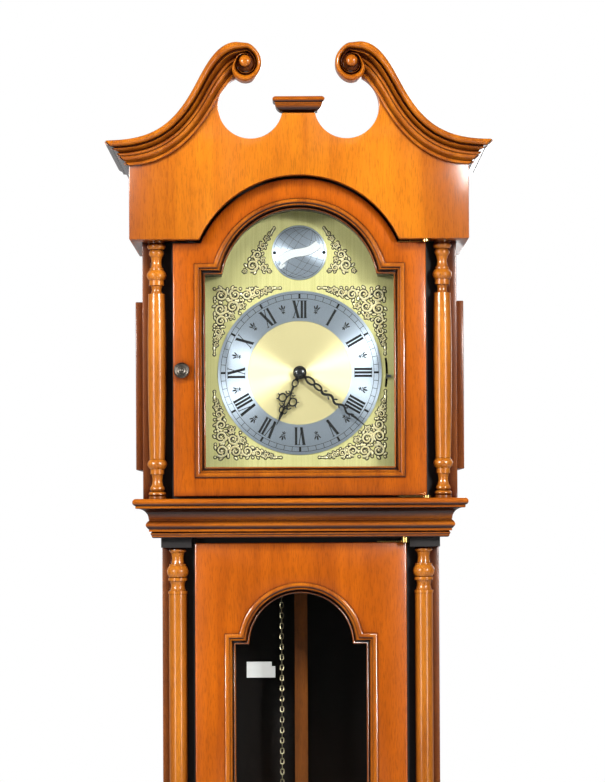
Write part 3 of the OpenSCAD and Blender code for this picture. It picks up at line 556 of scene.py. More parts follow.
def swan_point(high, low, across, depth):
    """A point of the band, held behind the mitre plane at the corner of the case."""
    x = high[0] + (low[0] - high[0]) * across
    z = high[1] + (low[1] - high[1]) * across
    return Vector((max(x * MM, mitre(depth)), FRIEZE_FACE - depth * MM, z * MM))


print("swan-neck stops:", len(UPPER_EDGE))

# %% [markdown]
# The scroll is the hard part of a swan neck. A carver winds the strip round the eye and lets it sink
# towards the end of its turn. The strip could be a spiral with a steady step, but a carved one swells
# where it leaves the neck, so its two radii are set at a few angles and joined smoothly.

# %% Scroll
EYE = (-76, 2021.5)
SCROLL_FROM, SCROLL_TURN, SCROLL_STEPS, JOINED = 100, 400, 65, 3
SINK_AFTER, SINK = 150, 7
DOME_FLAT = 0.66
VOLUTE = ((90, 26.6, 15.2), (45, 23.2, 13.2), (0, 23.6, 13.2), (-45, 25.8, 15.2), (-90, 28.5, 15.6),
          (-135, 24.8, 14.2), (-180, 15.6, 10.6), (-225, 13.2, 9.8), (-270, 11.4, 9.2), (-300, 10.2, 9.0))


def volute(turn_deg):
    """The outer and inner radius of the scroll's strip, smoothly between the set angles."""
    last = len(VOLUTE) - 1
    i = next((k for k in range(last) if VOLUTE[k + 1][0] <= turn_deg), last - 1)
    near = [VOLUTE[min(max(k, 0), last)] for k in (i - 1, i, i + 1, i + 2)]
    t = (turn_deg - near[1][0]) / (near[2][0] - near[1][0])
    return [0.5 * (2 * b + (c - a) * t + (2 * a - 5 * b + 4 * c - d) * t * t
                   + (3 * b - a - 3 * c + d) * t ** 3) for a, b, c, d in list(zip(*near))[1:]]


def strip_rings():
    """The upper strip, along the neck and then round the scroll."""
    profile = [(0, 0)] + ROUND + [(0.96, 0)]
    rings = [[swan_point(high, low, STRIP * f, d) for f, d in profile]
             for high, low in zip(UPPER_EDGE, LOWER_EDGE)]
    for step in range(JOINED, SCROLL_STEPS + 1):
        angle = SCROLL_FROM - step * SCROLL_TURN / SCROLL_STEPS
        outer, inner = volute(min(angle, 90))
        direction = Vector((math.cos(math.radians(angle)), 0, math.sin(math.radians(angle))))
        middle = Vector((EYE[0] * MM, FRIEZE_FACE, EYE[1] * MM))
        sink = max(0.0, -angle - SINK_AFTER) / SINK_AFTER * SINK
        rings.append([middle + direction * ((outer + (inner - outer) * f) * MM)
                      - Vector((0, max(d - sink, 0) * MM, 0)) for f, d in profile])
    return rings


print("scroll:", SCROLL_TURN, "degrees in", SCROLL_STEPS, "steps")

# %% Swan-neck mouldings
swan = bmesh.new()
sweep(swan, strip_rings())
below = [(0.37, 0)] + BELOW + [(1, 0)]
edges = list(zip(UPPER_EDGE, LOWER_EDGE)) + [((-74, 2046.6), (-74, 2014))]
sweep(swan, [[swan_point(high, low, f, d) for f, d in below] for high, low in edges])
eye_at = (EYE[0] * MM, FRIEZE_FACE, EYE[1] * MM)
hub = [(0, 0), (13.4, 0), (13.4, -17), (11, -18), (0, -18)]
turn(swan, hub, eye_at, 48)
EYE_FRONT, EYE_R = -27, 8.6
dome = [(r, EYE_FRONT + h * DOME_FLAT) for r, h in arc(0, 0, EYE_R, 0, -90, 8)]
eye = [(0, 0), (7.8, 0), (7.8, -24), (EYE_R, EYE_FRONT)] + dome
turn(swan, eye, eye_at, 48)
mirrored(swan)
make("swan_necks", swan, "case", "neck_wood", ["swan_neck_mouldings"], crease=40)

# %% [markdown]
# The crown moulding along each side has the same section as the foot of the swan neck, because the two
# meet at a mitre on the corner. It is straight, so two stops of the sweep are enough.

# %% Crown returns
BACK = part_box("crown_returns")[1].y
INSIDE = -16
section = [(0, INSIDE)] + [(STRIP * f, d) for f, d in ROUND] + BELOW + [(1, INSIDE)]
crown = bmesh.new()
front_ring, back_ring = [], []
for f, d in section:
    z = (CROWN_TOP + (CROWN_FOOT - CROWN_TOP) * f) * MM
    front_ring.append(Vector((mitre(d), FRIEZE_FACE - max(d, 0) * MM, z)))
    back_ring.append(Vector((mitre(d), BACK, z)))
sweep(crown, [front_ring, back_ring])
mirrored(crown)
make("crown_mouldings", crown, "case", "moulding_wood", ["crown_returns"], crease=40)

# %% [markdown]
# ## Mouldings round the case
# The waist, base and hood mouldings are straight runs from a spindle moulder. They are mitred at the two
# front corners and stop at the back. One section swept through four stops makes each of them, and every
# stop at a corner lies on the mitre.


# %% Straight mouldings
def casing(name, node, half, front, profile, inset, inner_front, back=None):
    """A moulding along both sides and the front. The profile holds (reach, height) from the bottom up."""
    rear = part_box(node)[1].y / MM if back is None else back
    ends = [(None, profile[-1][1]), (None, profile[0][1])]
    stops = ((-1, rear, False), (-1, front, True), (1, front, True), (1, rear, False))
    rings = []
    for side, y, corner in stops:
        ring = []
        for reach, z in profile + ends:
            if reach is None:
                ring.append(Vector((side * (half - inset), inner_front if corner else y, z)) * MM)
            else:
                ring.append(Vector((side * (half + reach), y - (reach if corner else 0), z)) * MM)
        rings.append(ring)
    bm = bmesh.new()
    sweep(bm, rings)
    return make(name, bm, "case", "moulding_across", [node], crease=28)


print("straight moulding helper ready")

# %% Waist, hood and base mouldings
TRUNK_HALF, TRUNK_FRONT, TRUNK_INSIDE = 202, -84, -47
WAIST_Z, HOOD_Z, LIP = 1340.8, 1397.5, 10.5
waist = ([(0, WAIST_Z), (9.2, WAIST_Z)] + arc(9.8, WAIST_Z + 3, 3, -70, 0, 5)
         + bead(12.8, WAIST_Z + 3.6, WAIST_Z + 8.6, 1.4, 8) + [(12.8, WAIST_Z + 9.2), (16.5, WAIST_Z + 9.4),
                                                              (16.5, WAIST_Z + 12)]
         + bead(16.5, WAIST_Z + 12.4, WAIST_Z + 25.3, 4.4, 16) + [(16.3, WAIST_Z + 26.4)]
         + arc(32, WAIST_Z + 27, 15.2, 180, 92, 14) + [(34.4, WAIST_Z + 42.4), (34.9, WAIST_Z + 43),
                                                      (35, HOOD_Z - LIP)])
casing("waist_mouldings", "waist_moulding", TRUNK_HALF, TRUNK_FRONT, waist, 0, TRUNK_INSIDE)

lip = [(8, HOOD_Z - LIP)] + arc(8, HOOD_Z - LIP + 5.2, 5.2, -84, 84, 14) + [(8, HOOD_Z - 0.1)]
casing("hood_base_lip", "hood_base_frame", 228, -110, lip, 18, -55)

BASE_Z, TRUNK_Z = 500, 545
base_top = ([(0, BASE_Z), (35.4, BASE_Z)] + arc(36, BASE_Z + 6, 6, -82, 82, 14)
            + [(34, BASE_Z + 12.2), (33, BASE_Z + 12.6), (33, BASE_Z + 15)]
            + arc(33, TRUNK_Z - 6, 24, -92, -178, 16) + [(9, TRUNK_Z - 4.6)]
            + arc(5, TRUNK_Z - 4, 4, 8, 88, 6) + [(0, TRUNK_Z)])
casing("base_top_mouldings", "base_top_moulding", TRUNK_HALF, TRUNK_FRONT, base_top, 0, TRUNK_INSIDE)

cap = ([(0, 1951), (0.6, 1951.2)] + arc(0.6, 1964.2, 11, -84, -6, 10)
       + [(11.6, 1963.4), (12, 1963.8), (12, 1965.4)] + arc(11.4, 1969.6, 4, -60, 60, 8)
       + [(12.4, 1973.6), (11.8, 1974)])
casing("plinth_cap_moulding", "plinth_cap", 22, -118, cap, 21.9, -101, back=-100)

# %% [markdown]
# ## Door mouldings
# Each pane is held by a moulding that follows the arched opening: a broad round outside, a dark hollow,
# and a thin bead against the glass. The round part of the arch meets the straight shoulders at a mitre
# that isn't at 45 degrees, so each line of the section finds its own corner.


# %% Arched sweep
def opening_stops(half, bottom, shoulder, radius, centre_z, steps=40):
    """Functions of an offset that give each stop of the path round an arched opening."""
    def lift(d):
        return math.asin((shoulder + d - centre_z) / (radius + d))

    stops = [lambda d: (-half - d, bottom - d), lambda d: (half + d, bottom - d),
             lambda d: (half + d, shoulder + d)]
    for i in range(steps + 1):
        def on_arch(d, part=i / steps):
            angle = lift(d) + (math.pi - 2 * lift(d)) * part
            return ((radius + d) * math.cos(angle), centre_z + (radius + d) * math.sin(angle))
        stops.append(on_arch)
    stops.append(lambda d: (-half - d, shoulder + d))
    return stops


print("arched sweep helper ready")


# %% Door beadings
def door_moulding(name, node, body, door_front, opening, outer):
    """A moulding in (offset, depth) swept round a door's opening."""
    section = [(outer, 0.6), (outer, -0.6), (outer - 0.3, -1.6), (outer - 1.2, -2.5), (outer - 2.6, -2.9),
               (outer - 4.4, -3), (outer - 5.8, -2.7), (outer - 6.8, -1.9), (outer - 7.4, -0.9),
               (outer - 7.5, -0.25), (7.4, -0.2), (6.4, -0.1), (5.9, 0.5), (5.3, 1.6), (4.9, 3.2), (4.5, 4.9),
               (3.9, 5.9), (3.2, 6.2), (3.1, 5.4), (2.6, 4.8), (1.7, 4.5), (0.8, 4.9), (0.2, 5.8), (0, 7),
               (0, 10), (6, 10), (6, 0.6)]
    rings = [[Vector((stop(d)[0] * MM, door_front + y * MM, stop(d)[1] * MM)) for d, y in section]
             for stop in opening_stops(*opening)]
    bm = bmesh.new()
    sweep(bm, rings, close_path=True)
    return make(name, bm, body, "moulding_wood", [node], crease=38)


HOOD_OPENING = (136, 1443, 1720.5, 112.5, 1701.8)
TRUNK_OPENING = (94.7, 600, 1185.7, 75.1, 1184.4)
for door, opening, outer in (("hood_door", HOOD_OPENING, 16), ("trunk_door", TRUNK_OPENING, 16.2)):
    door_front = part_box(door + "_frame")[0].y
    door_moulding(door + "_beading", door + "_moulding", door, door_front, opening, outer)

# %% [markdown]
# ## Softened edges
# No sanded board has a sharp edge: lacquer would not hold on it. The thin line of light along an edge is
# what tells the eye that it is looking at wood and not at a drawing. A copy of each visible board is
# merged, its flat faces are joined, and its edges are rounded with a small bevel.


# %% Round the boards' edges
def merged_copy(node):
    """A frame solid's mesh as a bmesh, with its triangles merged into flat faces."""
    bm = bmesh.new()
    bm.from_mesh(frame["nodes"][node].data)
    bmesh.ops.remove_doubles(bm, verts=bm.verts, dist=4e-6)
    bmesh.ops.dissolve_limit(bm, angle_limit=math.radians(0.6), verts=bm.verts, edges=bm.edges,
                             use_dissolve_boundaries=False)
    return bm


def ease(bm, radius, crease):
    """Rounds every edge that is sharper than the crease angle."""
    sharp = [e for e in bm.edges if e.is_manifold and e.calc_face_angle(0) > math.radians(crease)]
    bmesh.ops.bevel(bm, geom=sharp, offset=radius * MM, offset_type="OFFSET", affect="EDGES",
                    segments=2, profile=0.5, material=-1, clamp_overlap=True)


def softened(node, body, radius, finish=None, crease=30):
    """A copy of a frame solid with its sharp edges rounded, which stands in for it."""
    slot = next(e["material_slot"] for e in frame["record"]["subparts"] if e["node"] == node)
    bm = merged_copy(node)
    ease(bm, radius, crease)
    bmesh.ops.triangulate(bm, faces=[f for f in bm.faces if len(f.verts) > 4])
    return make(node + "_sanded", bm, body, finish or slot, [node], crease=crease)


for board, rider, soft in (
        ("hood_door_frame", "hood_door", 1.6), ("trunk_door_frame", "trunk_door", 1.6),
        ("frieze_boards", "case", 1.2), ("hood_sides", "case", 0.8), ("trunk_sides", "case", 0.8),
        ("side_panel_left", "side_panel_left", 1.2), ("side_panel_right", "side_panel_right", 1.2),
        ("base_front_panel", "case", 1.2), ("base_skirt", "case", 1.0), ("base_boards", "case", 1.2)):
    softened(board, rider, soft, "side_wood" if "side" in board else None)

# %% [markdown]
# ## The back
# The back is four upright planks, butted edge to edge, with their edges eased so that a fine groove shows at
# each joint. Outside they are plain brown wood. Inside they carry painted shade, nearly black, so the case
# looks deep through the glass. Each plank is cut from the frame's board with two upright planes.

# %% Back planks
PLANKS, PLANK_EDGE = 4, 1.2
low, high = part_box("back_board")
cuts = [low.x + (high.x - low.x) * k / PLANKS for k in range(PLANKS + 1)]
planks = bmesh.new()
for left, right in zip(cuts, cuts[1:]):
    bm = merged_copy("back_board")
    for x, away in ((left, -1), (right, 1)):
        everything = bm.verts[:] + bm.edges[:] + bm.faces[:]
        bmesh.ops.bisect_plane(bm, geom=everything, plane_co=(x, 0, 0), plane_no=(away, 0, 0),
                               clear_outer=True)
        rim = [e for e in bm.edges if e.is_boundary]
        if rim:
            bmesh.ops.holes_fill(bm, edges=rim, sides=0)
    ease(bm, PLANK_EDGE, 40)
    pour(planks, bm)
make("back_board_planks", planks, "case", "back_wood", ["back_board"], flip=False)

# %% [markdown]
# ## Flat work in brass and ink
# Hands, spandrels and printed marks are all flat work: a line of some width that bends in one plane. The
# helper below sweeps a low, chamfered section along such a line. Two-number places on the dial are turned
# by a clock angle and moved to a centre, so each mark can be drawn as if it stood at twelve.

# %% Flat line helpers
DIAL_Z = 1580.7
DIAL_CENTRE = (0, DIAL_Z)


def on_dial(u, v, turn_deg=0.0, centre=DIAL_CENTRE):
    """A place drawn upright, turned clockwise about a centre of the dial, in metres."""
    a = math.radians(turn_deg)
    return ((centre[0] + u * math.cos(a) + v * math.sin(a)) * MM,
            (centre[1] - u * math.sin(a) + v * math.cos(a)) * MM)


def flat_line(bm, path, widths, back, front, turn_deg=0.0, centre=DIAL_CENTRE, closed=False, slim=0.55):
    """Sweeps a chamfered section along a flat path. back and front are depths in millimetres."""
    count = len(path)
    rings = []
    shoulder = back + (front - back) * 0.45
    for i, (u, v) in enumerate(path):
        before = path[i - 1] if i or closed else path[i]
        after = path[(i + 1) % count] if i < count - 1 or closed else path[i]
        du, dv = after[0] - before[0], after[1] - before[1]
        size = math.hypot(du, dv) or 1
        nu, nv = -dv / size, du / size
        w = (widths[0] + (widths[1] - widths[0]) * i / max(count - 1, 1)) / 2
        ring = []
        for across, y in ((-w, back), (-w, shoulder), (-w * slim, front), (w * slim, front), (w, shoulder),
                          (w, back)):
            x, z = on_dial(u + nu * across, v + nv * across, turn_deg, centre)
            ring.append(Vector((x, y * MM, z)))
        rings.append(ring)
    sweep(bm, rings, close_path=closed)


def loop(cu, cv, ru, rv, steps):
    """Points of an ellipse about a place."""
    return [(cu + ru * math.cos(FULL_TURN * i / steps), cv + rv * math.sin(FULL_TURN * i / steps))
            for i in range(steps)]


def spiral(cu, cv, r0, r1, a0, turns, steps):
    """Points of a spiral that runs from one radius to another."""
    return [(cu + (r0 + (r1 - r0) * i / steps) * math.cos(math.radians(a0 + 360 * turns * i / steps)),
             cv + (r0 + (r1 - r0) * i / steps) * math.sin(math.radians(a0 + 360 * turns * i / steps)))
            for i in range(steps + 1)]


def pebble(bm, u, v, ru, rv, depth, back, lean=0.0, turn_deg=0.0, segments=10):
    """A low rounded boss, long along its own upright before it leans."""
    x, z = on_dial(u, v, turn_deg)
    tilt = Matrix.Rotation(math.radians(lean + turn_deg), 4, "Y")
    size = Matrix.Diagonal((ru * MM, depth * MM, rv * MM, 1))
    place = Matrix.Translation((x, back * MM, z)) @ tilt @ size
    part = bmesh.new()
    bmesh.ops.create_uvsphere(part, u_segments=segments, v_segments=6, radius=1,
                              matrix=place @ Matrix.Rotation(math.pi / 2, 4, "X"))
    pour(bm, part)


def band(bm, r0, r1, back, front, centre, steps):
    """A flat ring about an axis that faces the front."""
    profile = ((r0, back), (r1, back), (r1, front), (r0, front), (r0, back))
    turn(bm, profile, (centre[0] * MM, 0, centre[1] * MM), steps)


print("flat line helpers ready")

# %% [markdown]
# ## The chapter ring
# The ring is brass, silvered and brushed round and round. Its numerals, the minute track and the small
# half-hour flowers are engraved and filled with black wax. Here they stand up by a tenth of a
# millimetre instead, which looks the same and needs no cuts in the ring.

# %% Numerals
RING_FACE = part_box("chapter_ring")[0].y / MM
INK_DEEP = 0.3
INK = RING_FACE - 0.12
FOOT, HEAD = 79.6, 105.4
THICK, THIN, STEM = 4.0, 1.1, 3.4
LETTER = {"I": 5.0, "V": 11.6, "X": 11.8}


def stroke(bm, low, high, width, hour_deg):
    """A straight stroke with level ends, from a low place to a high place."""
    mid = [(a + b) / 2 for a, b in zip(low, high)]
    x, z = on_dial(*mid, hour_deg)
    turn_by = Matrix.Rotation(math.radians(hour_deg), 4, "Y")
    shape = Matrix(((width * MM, 0, (high[0] - low[0]) * MM, 0), (0, INK_DEEP * MM, 0, 0),
                    (0, 0, (high[1] - low[1]) * MM, 0), (0, 0, 0, 1)))
    place = Matrix.Translation((x, (INK + INK_DEEP / 2) * MM, z)) @ turn_by @ shape
    part = bmesh.new()
    bmesh.ops.create_cube(part, size=1, matrix=place)
    pour(bm, part)


def letter(bm, kind, left, hour_deg):
    """One Roman letter with thick and thin strokes and flat serifs."""
    right = left + LETTER[kind]
    mid = (left + right) / 2
    if kind == "I":
        stroke(bm, (mid, FOOT), (mid, HEAD), STEM, hour_deg)
        feet = [(mid, FOOT, 4.6), (mid, HEAD, 4.6)]
    elif kind == "V":
        stroke(bm, (mid + 0.6, FOOT), (left + 2.6, HEAD), THICK, hour_deg)
        stroke(bm, (mid + 0.2, FOOT), (right - 1.8, HEAD), THIN, hour_deg)
        feet = [(left + 2.6, HEAD, 5.2), (right - 1.8, HEAD, 3.8)]
    else:
        stroke(bm, (right - 2.6, FOOT), (left + 2.6, HEAD), THICK, hour_deg)
        stroke(bm, (left + 1.9, FOOT), (right - 1.9, HEAD), THIN, hour_deg)
        feet = [(left + 2.4, HEAD, 5), (right - 2.2, HEAD, 3.8), (left + 2.2, FOOT, 3.8),
                (right - 2.4, FOOT, 5)]
    for u, v, wide in feet:
        inward = -0.4 if v == HEAD else 0.4
        stroke(bm, (u, v + inward - 0.4), (u, v + inward + 0.4), wide, hour_deg)


ink = bmesh.new()
for hour, word in enumerate(("XII", "I", "II", "III", "IIII", "V", "VI", "VII", "VIII", "IX", "X", "XI")):
    left = -sum(LETTER[kind] for kind in word) / 2
    for kind in word:
        letter(ink, kind, left, hour * 30)
        left += LETTER[kind]
make("hour_numerals", ink, "case", "dial_ink", flip=False)

# %% [markdown]
# The minute track is two fine circles with a bar for each minute and a block for each fifth one. A small
# three-leaved flower marks each half hour. The leaves are low pebbles, because a pebble of eight sides
# reads as a leaf at this size and costs little.

# %% Minute track and half-hour flowers
track = bmesh.new()
for r0, r1 in ((108.0, 108.6), (114.9, 115.5)):
    band(track, r0, r1, INK + INK_DEEP, INK, DIAL_CENTRE, 180)
for tick in range(60):
    stroke(track, (0, 108.4), (0, 115.1), 3.0 if tick % 5 == 0 else 0.7, tick * 6)
LEAF_DEEP, LEAF_BACK = 0.14, INK + 0.12
for half in range(12):
    at = half * 30 + 15
    pebble(track, 0, 98.6, 1.3, 3.6, LEAF_DEEP, LEAF_BACK, turn_deg=at)
    for side in (-1, 1):
        pebble(track, side * 2.9, 97.2, 1.0, 3.2, LEAF_DEEP, LEAF_BACK, lean=side * 34, turn_deg=at)
        pebble(track, side * 1.6, 90.9, 0.7, 1.7, LEAF_DEEP, LEAF_BACK, lean=-side * 30, turn_deg=at)
    pebble(track, 0, 90.4, 0.8, 2.4, LEAF_DEEP, LEAF_BACK, turn_deg=at)
    stroke(track, (0, 93.2), (0, 94.2), 6.0, at)
make("minute_track", track, "case", "dial_ink", flip=False)

# %% [markdown]
# ## The dial's middle and the boss in the arch
# Inside the ring the brass is matted to a fine grain, and only the light from the sides shows how it was
# turned. The boss above is a silvered disc with a raised rim. It carries a net of fine curved lines, as on
# a globe, and a plain blank ribbon across it.

# %% Dial middle
PLATE_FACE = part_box("dial_plate")[0].y / MM
middle = bmesh.new()
band(middle, 8.2, 75.6, PLATE_FACE, PLATE_FACE - 0.6, DIAL_CENTRE, 96)
make("dial_middle", middle, "case", "dial_gold")

# %% Boss
BOSS = (0, 1756)
boss = bmesh.new()
rim = [(0, PLATE_FACE), (40, PLATE_FACE), (40, PLATE_FACE - 1.4), (39.4, PLATE_FACE - 1.9),
       (38.4, PLATE_FACE - 1.9), (37.8, PLATE_FACE - 1.5), (0, PLATE_FACE - 1.5)]
turn(boss, rim, (0, 0, BOSS[1] * MM), 96)
make("boss_disc", boss, "case", "silvered_ring", ["arch_boss"])

# %% Net of lines on the boss
net = bmesh.new()
NET_BACK, NET_FRONT = PLATE_FACE - 1.4, PLATE_FACE - 1.62
NET_LEAN, NET_R, NET_LINE = 28, 37.4, (0.35, 0.35)
for reach in (9, 18, 27):
    for side in (-1, 1):
        path = [(side * reach * math.cos(math.radians(a)), NET_R * math.sin(math.radians(a)))
                for a in range(-90, 91, 9)]
        flat_line(net, path, NET_LINE, NET_BACK, NET_FRONT, NET_LEAN, BOSS)
for height in (-27, -16, -5, 6, 17, 28):
    half = math.sqrt(NET_R ** 2 - height ** 2)
    path = [(half * k / 10, height - 4.5 * (1 - (k / 10) ** 2)) for k in range(-10, 11)]
    flat_line(net, path, NET_LINE, NET_BACK, NET_FRONT, NET_LEAN, BOSS)
band(net, 37.0, 37.5, NET_BACK, NET_FRONT, BOSS, 96)
print("net:", len(net.faces), "faces")

# %% Ribbon and pins of the boss
ribbon = bmesh.new()
RIBBON_LEAN = -24
wave = [(-31 + 62 * k / 24, 3.0 * math.sin(FULL_TURN * k / 24)) for k in range(25)]
flat_line(ribbon, wave, (12, 12), NET_BACK, NET_FRONT - 0.35, RIBBON_LEAN, BOSS, slim=0.97)
for side in (-1, 1):
    tail = [(side * (27 + 1.6 * k), -5.4 - 0.7 * k) for k in range(6)]
    flat_line(ribbon, tail, (8, 5), NET_BACK, NET_FRONT - 0.1, RIBBON_LEAN, BOSS, slim=0.95)
for shift in (-6.2, 6.2):
    edge = [(u, v + shift) for u, v in wave]
    flat_line(net, edge, (0.4, 0.4), NET_BACK, NET_FRONT - 0.4, RIBBON_LEAN, BOSS)
make("boss_net", net, "case", "dial_ink")
make("boss_ribbon", ribbon, "case", "ribbon_silver")

pins = bmesh.new()
pin = [(0, -58.2), (1.2, -58.1), (2.1, -57.6), (2.4, -57), (2.4, -56.2), (0, -56.2)]
for side in (-1, 1):
    turn(pins, pin, (side * 36 * MM, 0, BOSS[1] * MM), 20)
make("boss_pins", pins, "case", "dial_ink")

# %% [markdown]
# ## Spandrels
# The corners of the dial are filled with cast brass scrollwork. The founder's casting is pierced, the
# hollows are darkened, and the raised scrolls and leaves are polished. Each casting could be one pierced
# plate, but the eye only reads its bright lines and their black flanks. So each spiral, leaf and bead is
# laid over a slightly larger black copy of itself, smaller and smaller towards the points. The black copy
# is the darkened hollow together with painted shade on the flanks and on the plate beside them.


# %% Scrollwork
CAST_BACK = PLATE_FACE - 0.3
FLANK, LEAF_FLANK, FLANK_HIGH = 3.0, 1.3, 0.5
castings, grounds = bmesh.new(), bmesh.new()


def cast_line(path, widths, high):
    """A polished line on a wider, lower black one: patina and painted shade on the flank of the casting."""
    flat_line(castings, path, widths, CAST_BACK, CAST_BACK - high, slim=0.35)
    flat_line(grounds, path, [w + FLANK for w in widths], PLATE_FACE, PLATE_FACE - FLANK_HIGH, slim=0.8)


def cast_leaf(u, v, ru, rv, high, lean=0.0):
    """A polished leaf or bead on a black foot of patina and painted shade."""
    pebble(castings, u, v, ru, rv, high, CAST_BACK, lean, segments=8)
    pebble(grounds, u, v, ru + LEAF_FLANK, rv + LEAF_FLANK, FLANK_HIGH, PLATE_FACE, lean, segments=8)


def scroll(u, v, r, start, way):
    """A spiral with a bead at its eye, and leaves outside and inside it."""
    cast_line(spiral(u, v, r, r * 0.34, start, way * 1.25, 22), (r * 0.26 + 1.0, r * 0.14 + 0.8),
              1.4 + r * 0.05)
    cast_leaf(u, v, r * 0.22, r * 0.22, 1.7)
    for k in range(5):
        outer = start + way * (40 + 62 * k)
        lean = 90 - outer + way * 52
        for reach, angle, ru, rv, high, tilt in (
                (r * (1.26 - 0.03 * k), outer, r * 0.15 + 0.35, r * 0.32 + 0.2, 1.5, lean),
                (r * 0.64, outer + 20, r * 0.08 + 0.2, r * 0.16 + 0.1, 1.1, lean + 60)):
            cast_leaf(u + reach * math.cos(math.radians(angle)), v + reach * math.sin(math.radians(angle)),
                      ru, rv, high, tilt)


print("scrollwork helpers ready")

# %% Corner castings
CORNER_AT = (127.0, 126.0)
SCROLLS = ((33, 11.5, 8.6, 200, -1), (50, 12.0, 7.8, 170, 1), (65.5, 8.6, 5.8, 200, -1),
           (76.5, 6.2, 4.0, 170, 1), (84.5, 4.6, 2.6, 200, -1))
CENTRAL = ((12.5, 12.5, 9.0, 225, 1), (29.5, 29.5, 8.8, 45, -1), (43.0, 28.0, 4.2, 120, 1),
           (28.0, 43.0, 4.2, 330, -1))
BEADS = ((3, 3), (22, 3.5), (3.5, 22), (22.5, 20), (41, 3.2), (3.2, 41), (58, 2.6), (2.6, 58), (41.5, 19.5),
         (19.5, 41.5), (58.5, 16.5), (16.5, 58.5), (72, 11.8), (11.8, 72), (99, 2.4), (2.4, 99), (40, 39))


def corner_spandrel(side, level):
    """One corner casting. side and level are -1 or 1, for left or right and bottom or top."""
    def at(s, t):
        return side * (CORNER_AT[0] - s), level * (CORNER_AT[1] - t)

    for s, t, r, start, way in SCROLLS:
        for a, b, swap in ((s, t, 1), (t, s, -1)):
            begin = start if swap > 0 else 90 - start
            begin = begin if side * level > 0 else 90 - begin
            scroll(*at(a, b), r, begin + (180 if level > 0 else 0), way * swap * side * level)
    for s, t, r, start, way in CENTRAL:
        scroll(*at(s, t), r, start * side * level, way * side * level)
    for s, t in BEADS:
        cast_leaf(*at(s, t), 1.7, 1.7, 1.8)
    for out, wide, tall in ((90, 1.7, 3.6), (96, 0.9, 3.4)):
        cast_leaf(*at(out, 2.4), wide, tall, 1.2, 90)
        cast_leaf(*at(2.4, out), wide, tall, 1.2, 0)


for side in (-1, 1):
    for level in (-1, 1):
        corner_spandrel(side, level)
print("corner castings:", len(castings.faces), "faces")

# %% Arch castings
ARCH_SCROLLS = ((-68.5, 1737.5, 8.6, 250, 1), (-52.0, 1733.5, 5.2, 200, -1), (-61.0, 1753, 6.8, 300, -1),
                (-53.0, 1766.5, 4.6, 90, 1), (-47.0, 1776.5, 3.2, 280, -1), (-42.5, 1783.5, 2.0, 90, 1),
                (-80.0, 1729.5, 2.4, 120, -1), (-43.5, 1729.5, 2.0, 60, 1), (-53.5, 1745.5, 3.0, 20, 1))
for u, v, r, start, way in ARCH_SCROLLS:
    scroll(u, v - DIAL_Z, r, start, way)
    scroll(-u, v - DIAL_Z, r, 180 - start, -way)
for side in (-1, 1):
    for k in range(6):
        tip = (side * (40.5 - 0.9 * k), 1786 + 1.3 * k - DIAL_Z)
        cast_leaf(*tip, 0.9, 1.6, 1.1, side * 30)
make("spandrel_grounds", grounds, "case", "patina_and_shade_ground", flip=False)
make("spandrel_castings", castings, "case", "spandrel_brass", ["spandrels"], flip=False)

# %% [markdown]
# ## The hands
# The hands are pressed from steel and blacked. Each is a chain of rings, spurs and a pointed tip. The hour
# hand has two side loops, and the minute hand has two ovals and then a winding shaft. They are drawn at
# twelve and turned to the time they show, and each rides on its own pipe or arbor.

# %% Hand helpers
HAND_WEIGHT = 1.3
SPUR_HIGH = 0.75


def hand(back, front, at):
    """A new hand's mesh, and functions that draw a line and a spur on it."""
    bm = bmesh.new()

    def line(path, widths, closed=False):
        flat_line(bm, path, [w * HAND_WEIGHT for w in widths], back, front, at, DIAL_CENTRE, closed, 0.6)

    def spur(u, v, ru, rv, lean=0.0, high=SPUR_HIGH, segments=10):
        pebble(bm, u, v, ru, rv, high, (back + front) / 2, lean, at, segments=segments)

    return bm, line, spur


print("hand helpers ready")

# %% Hour hand
HOUR_BACK, HOUR_FRONT, HOUR_AT = -60.0, -61.5, 204.1
hour, line, spur = hand(HOUR_BACK, HOUR_FRONT, HOUR_AT)
band(hour, 7.3, 9.8, HOUR_BACK, HOUR_FRONT, DIAL_CENTRE, 40)
line([(0, 9), (0, 13)], (5.0, 3.4))
line(loop(0, 17, 4.0, 5.4, 18), (1.9, 1.9), True)
line([(0, 22), (0, 29), (0, 36)], (2.8, 2.0))
LOOP_AT = (8.2, 43.4)
for side in (-1, 1):
    line(spiral(side * 3.9, 32.5, 3.4, 1.2, 90 - side * 90, side * 0.8, 12), (1.6, 1.0))
    line(loop(side * LOOP_AT[0], LOOP_AT[1], 5.5, 5.8, 22), (2.0, 2.0), True)
    line(spiral(side * 5.2, 52.5, 3.6, 1.2, 90 - side * 90, side * 0.9, 14), (1.6, 1.0))
    line(loop(side * 3.0, 60.0, 2.6, 4.2, 16), (1.6, 1.6), True)
    for lean in (55, 110):
        u = side * (LOOP_AT[0] + 7.4 * math.sin(math.radians(lean)))
        spur(u, LOOP_AT[1] + 7.7 * math.cos(math.radians(lean)), 1.1, 2.0, side * lean)
line(loop(0, 45, 2.8, 9.5, 18), (1.6, 1.6), True)
line([(0, 53), (0, 66)], (2.4, 2.4))
line([(0, 63), (0, 70), (0, 77), (0, 84)], (4.2, 0.6))
make("hour_hand_pierced", hour, "hour_pipe", "black_hands", ["hour_hand"], flip=False)

# %% [markdown]
# The minute hand is the longer and the slimmer one. Its shaft winds from side to side, with a spur at each
# bend. The round nut that holds it is turned in one piece with it here, because the two move as one.

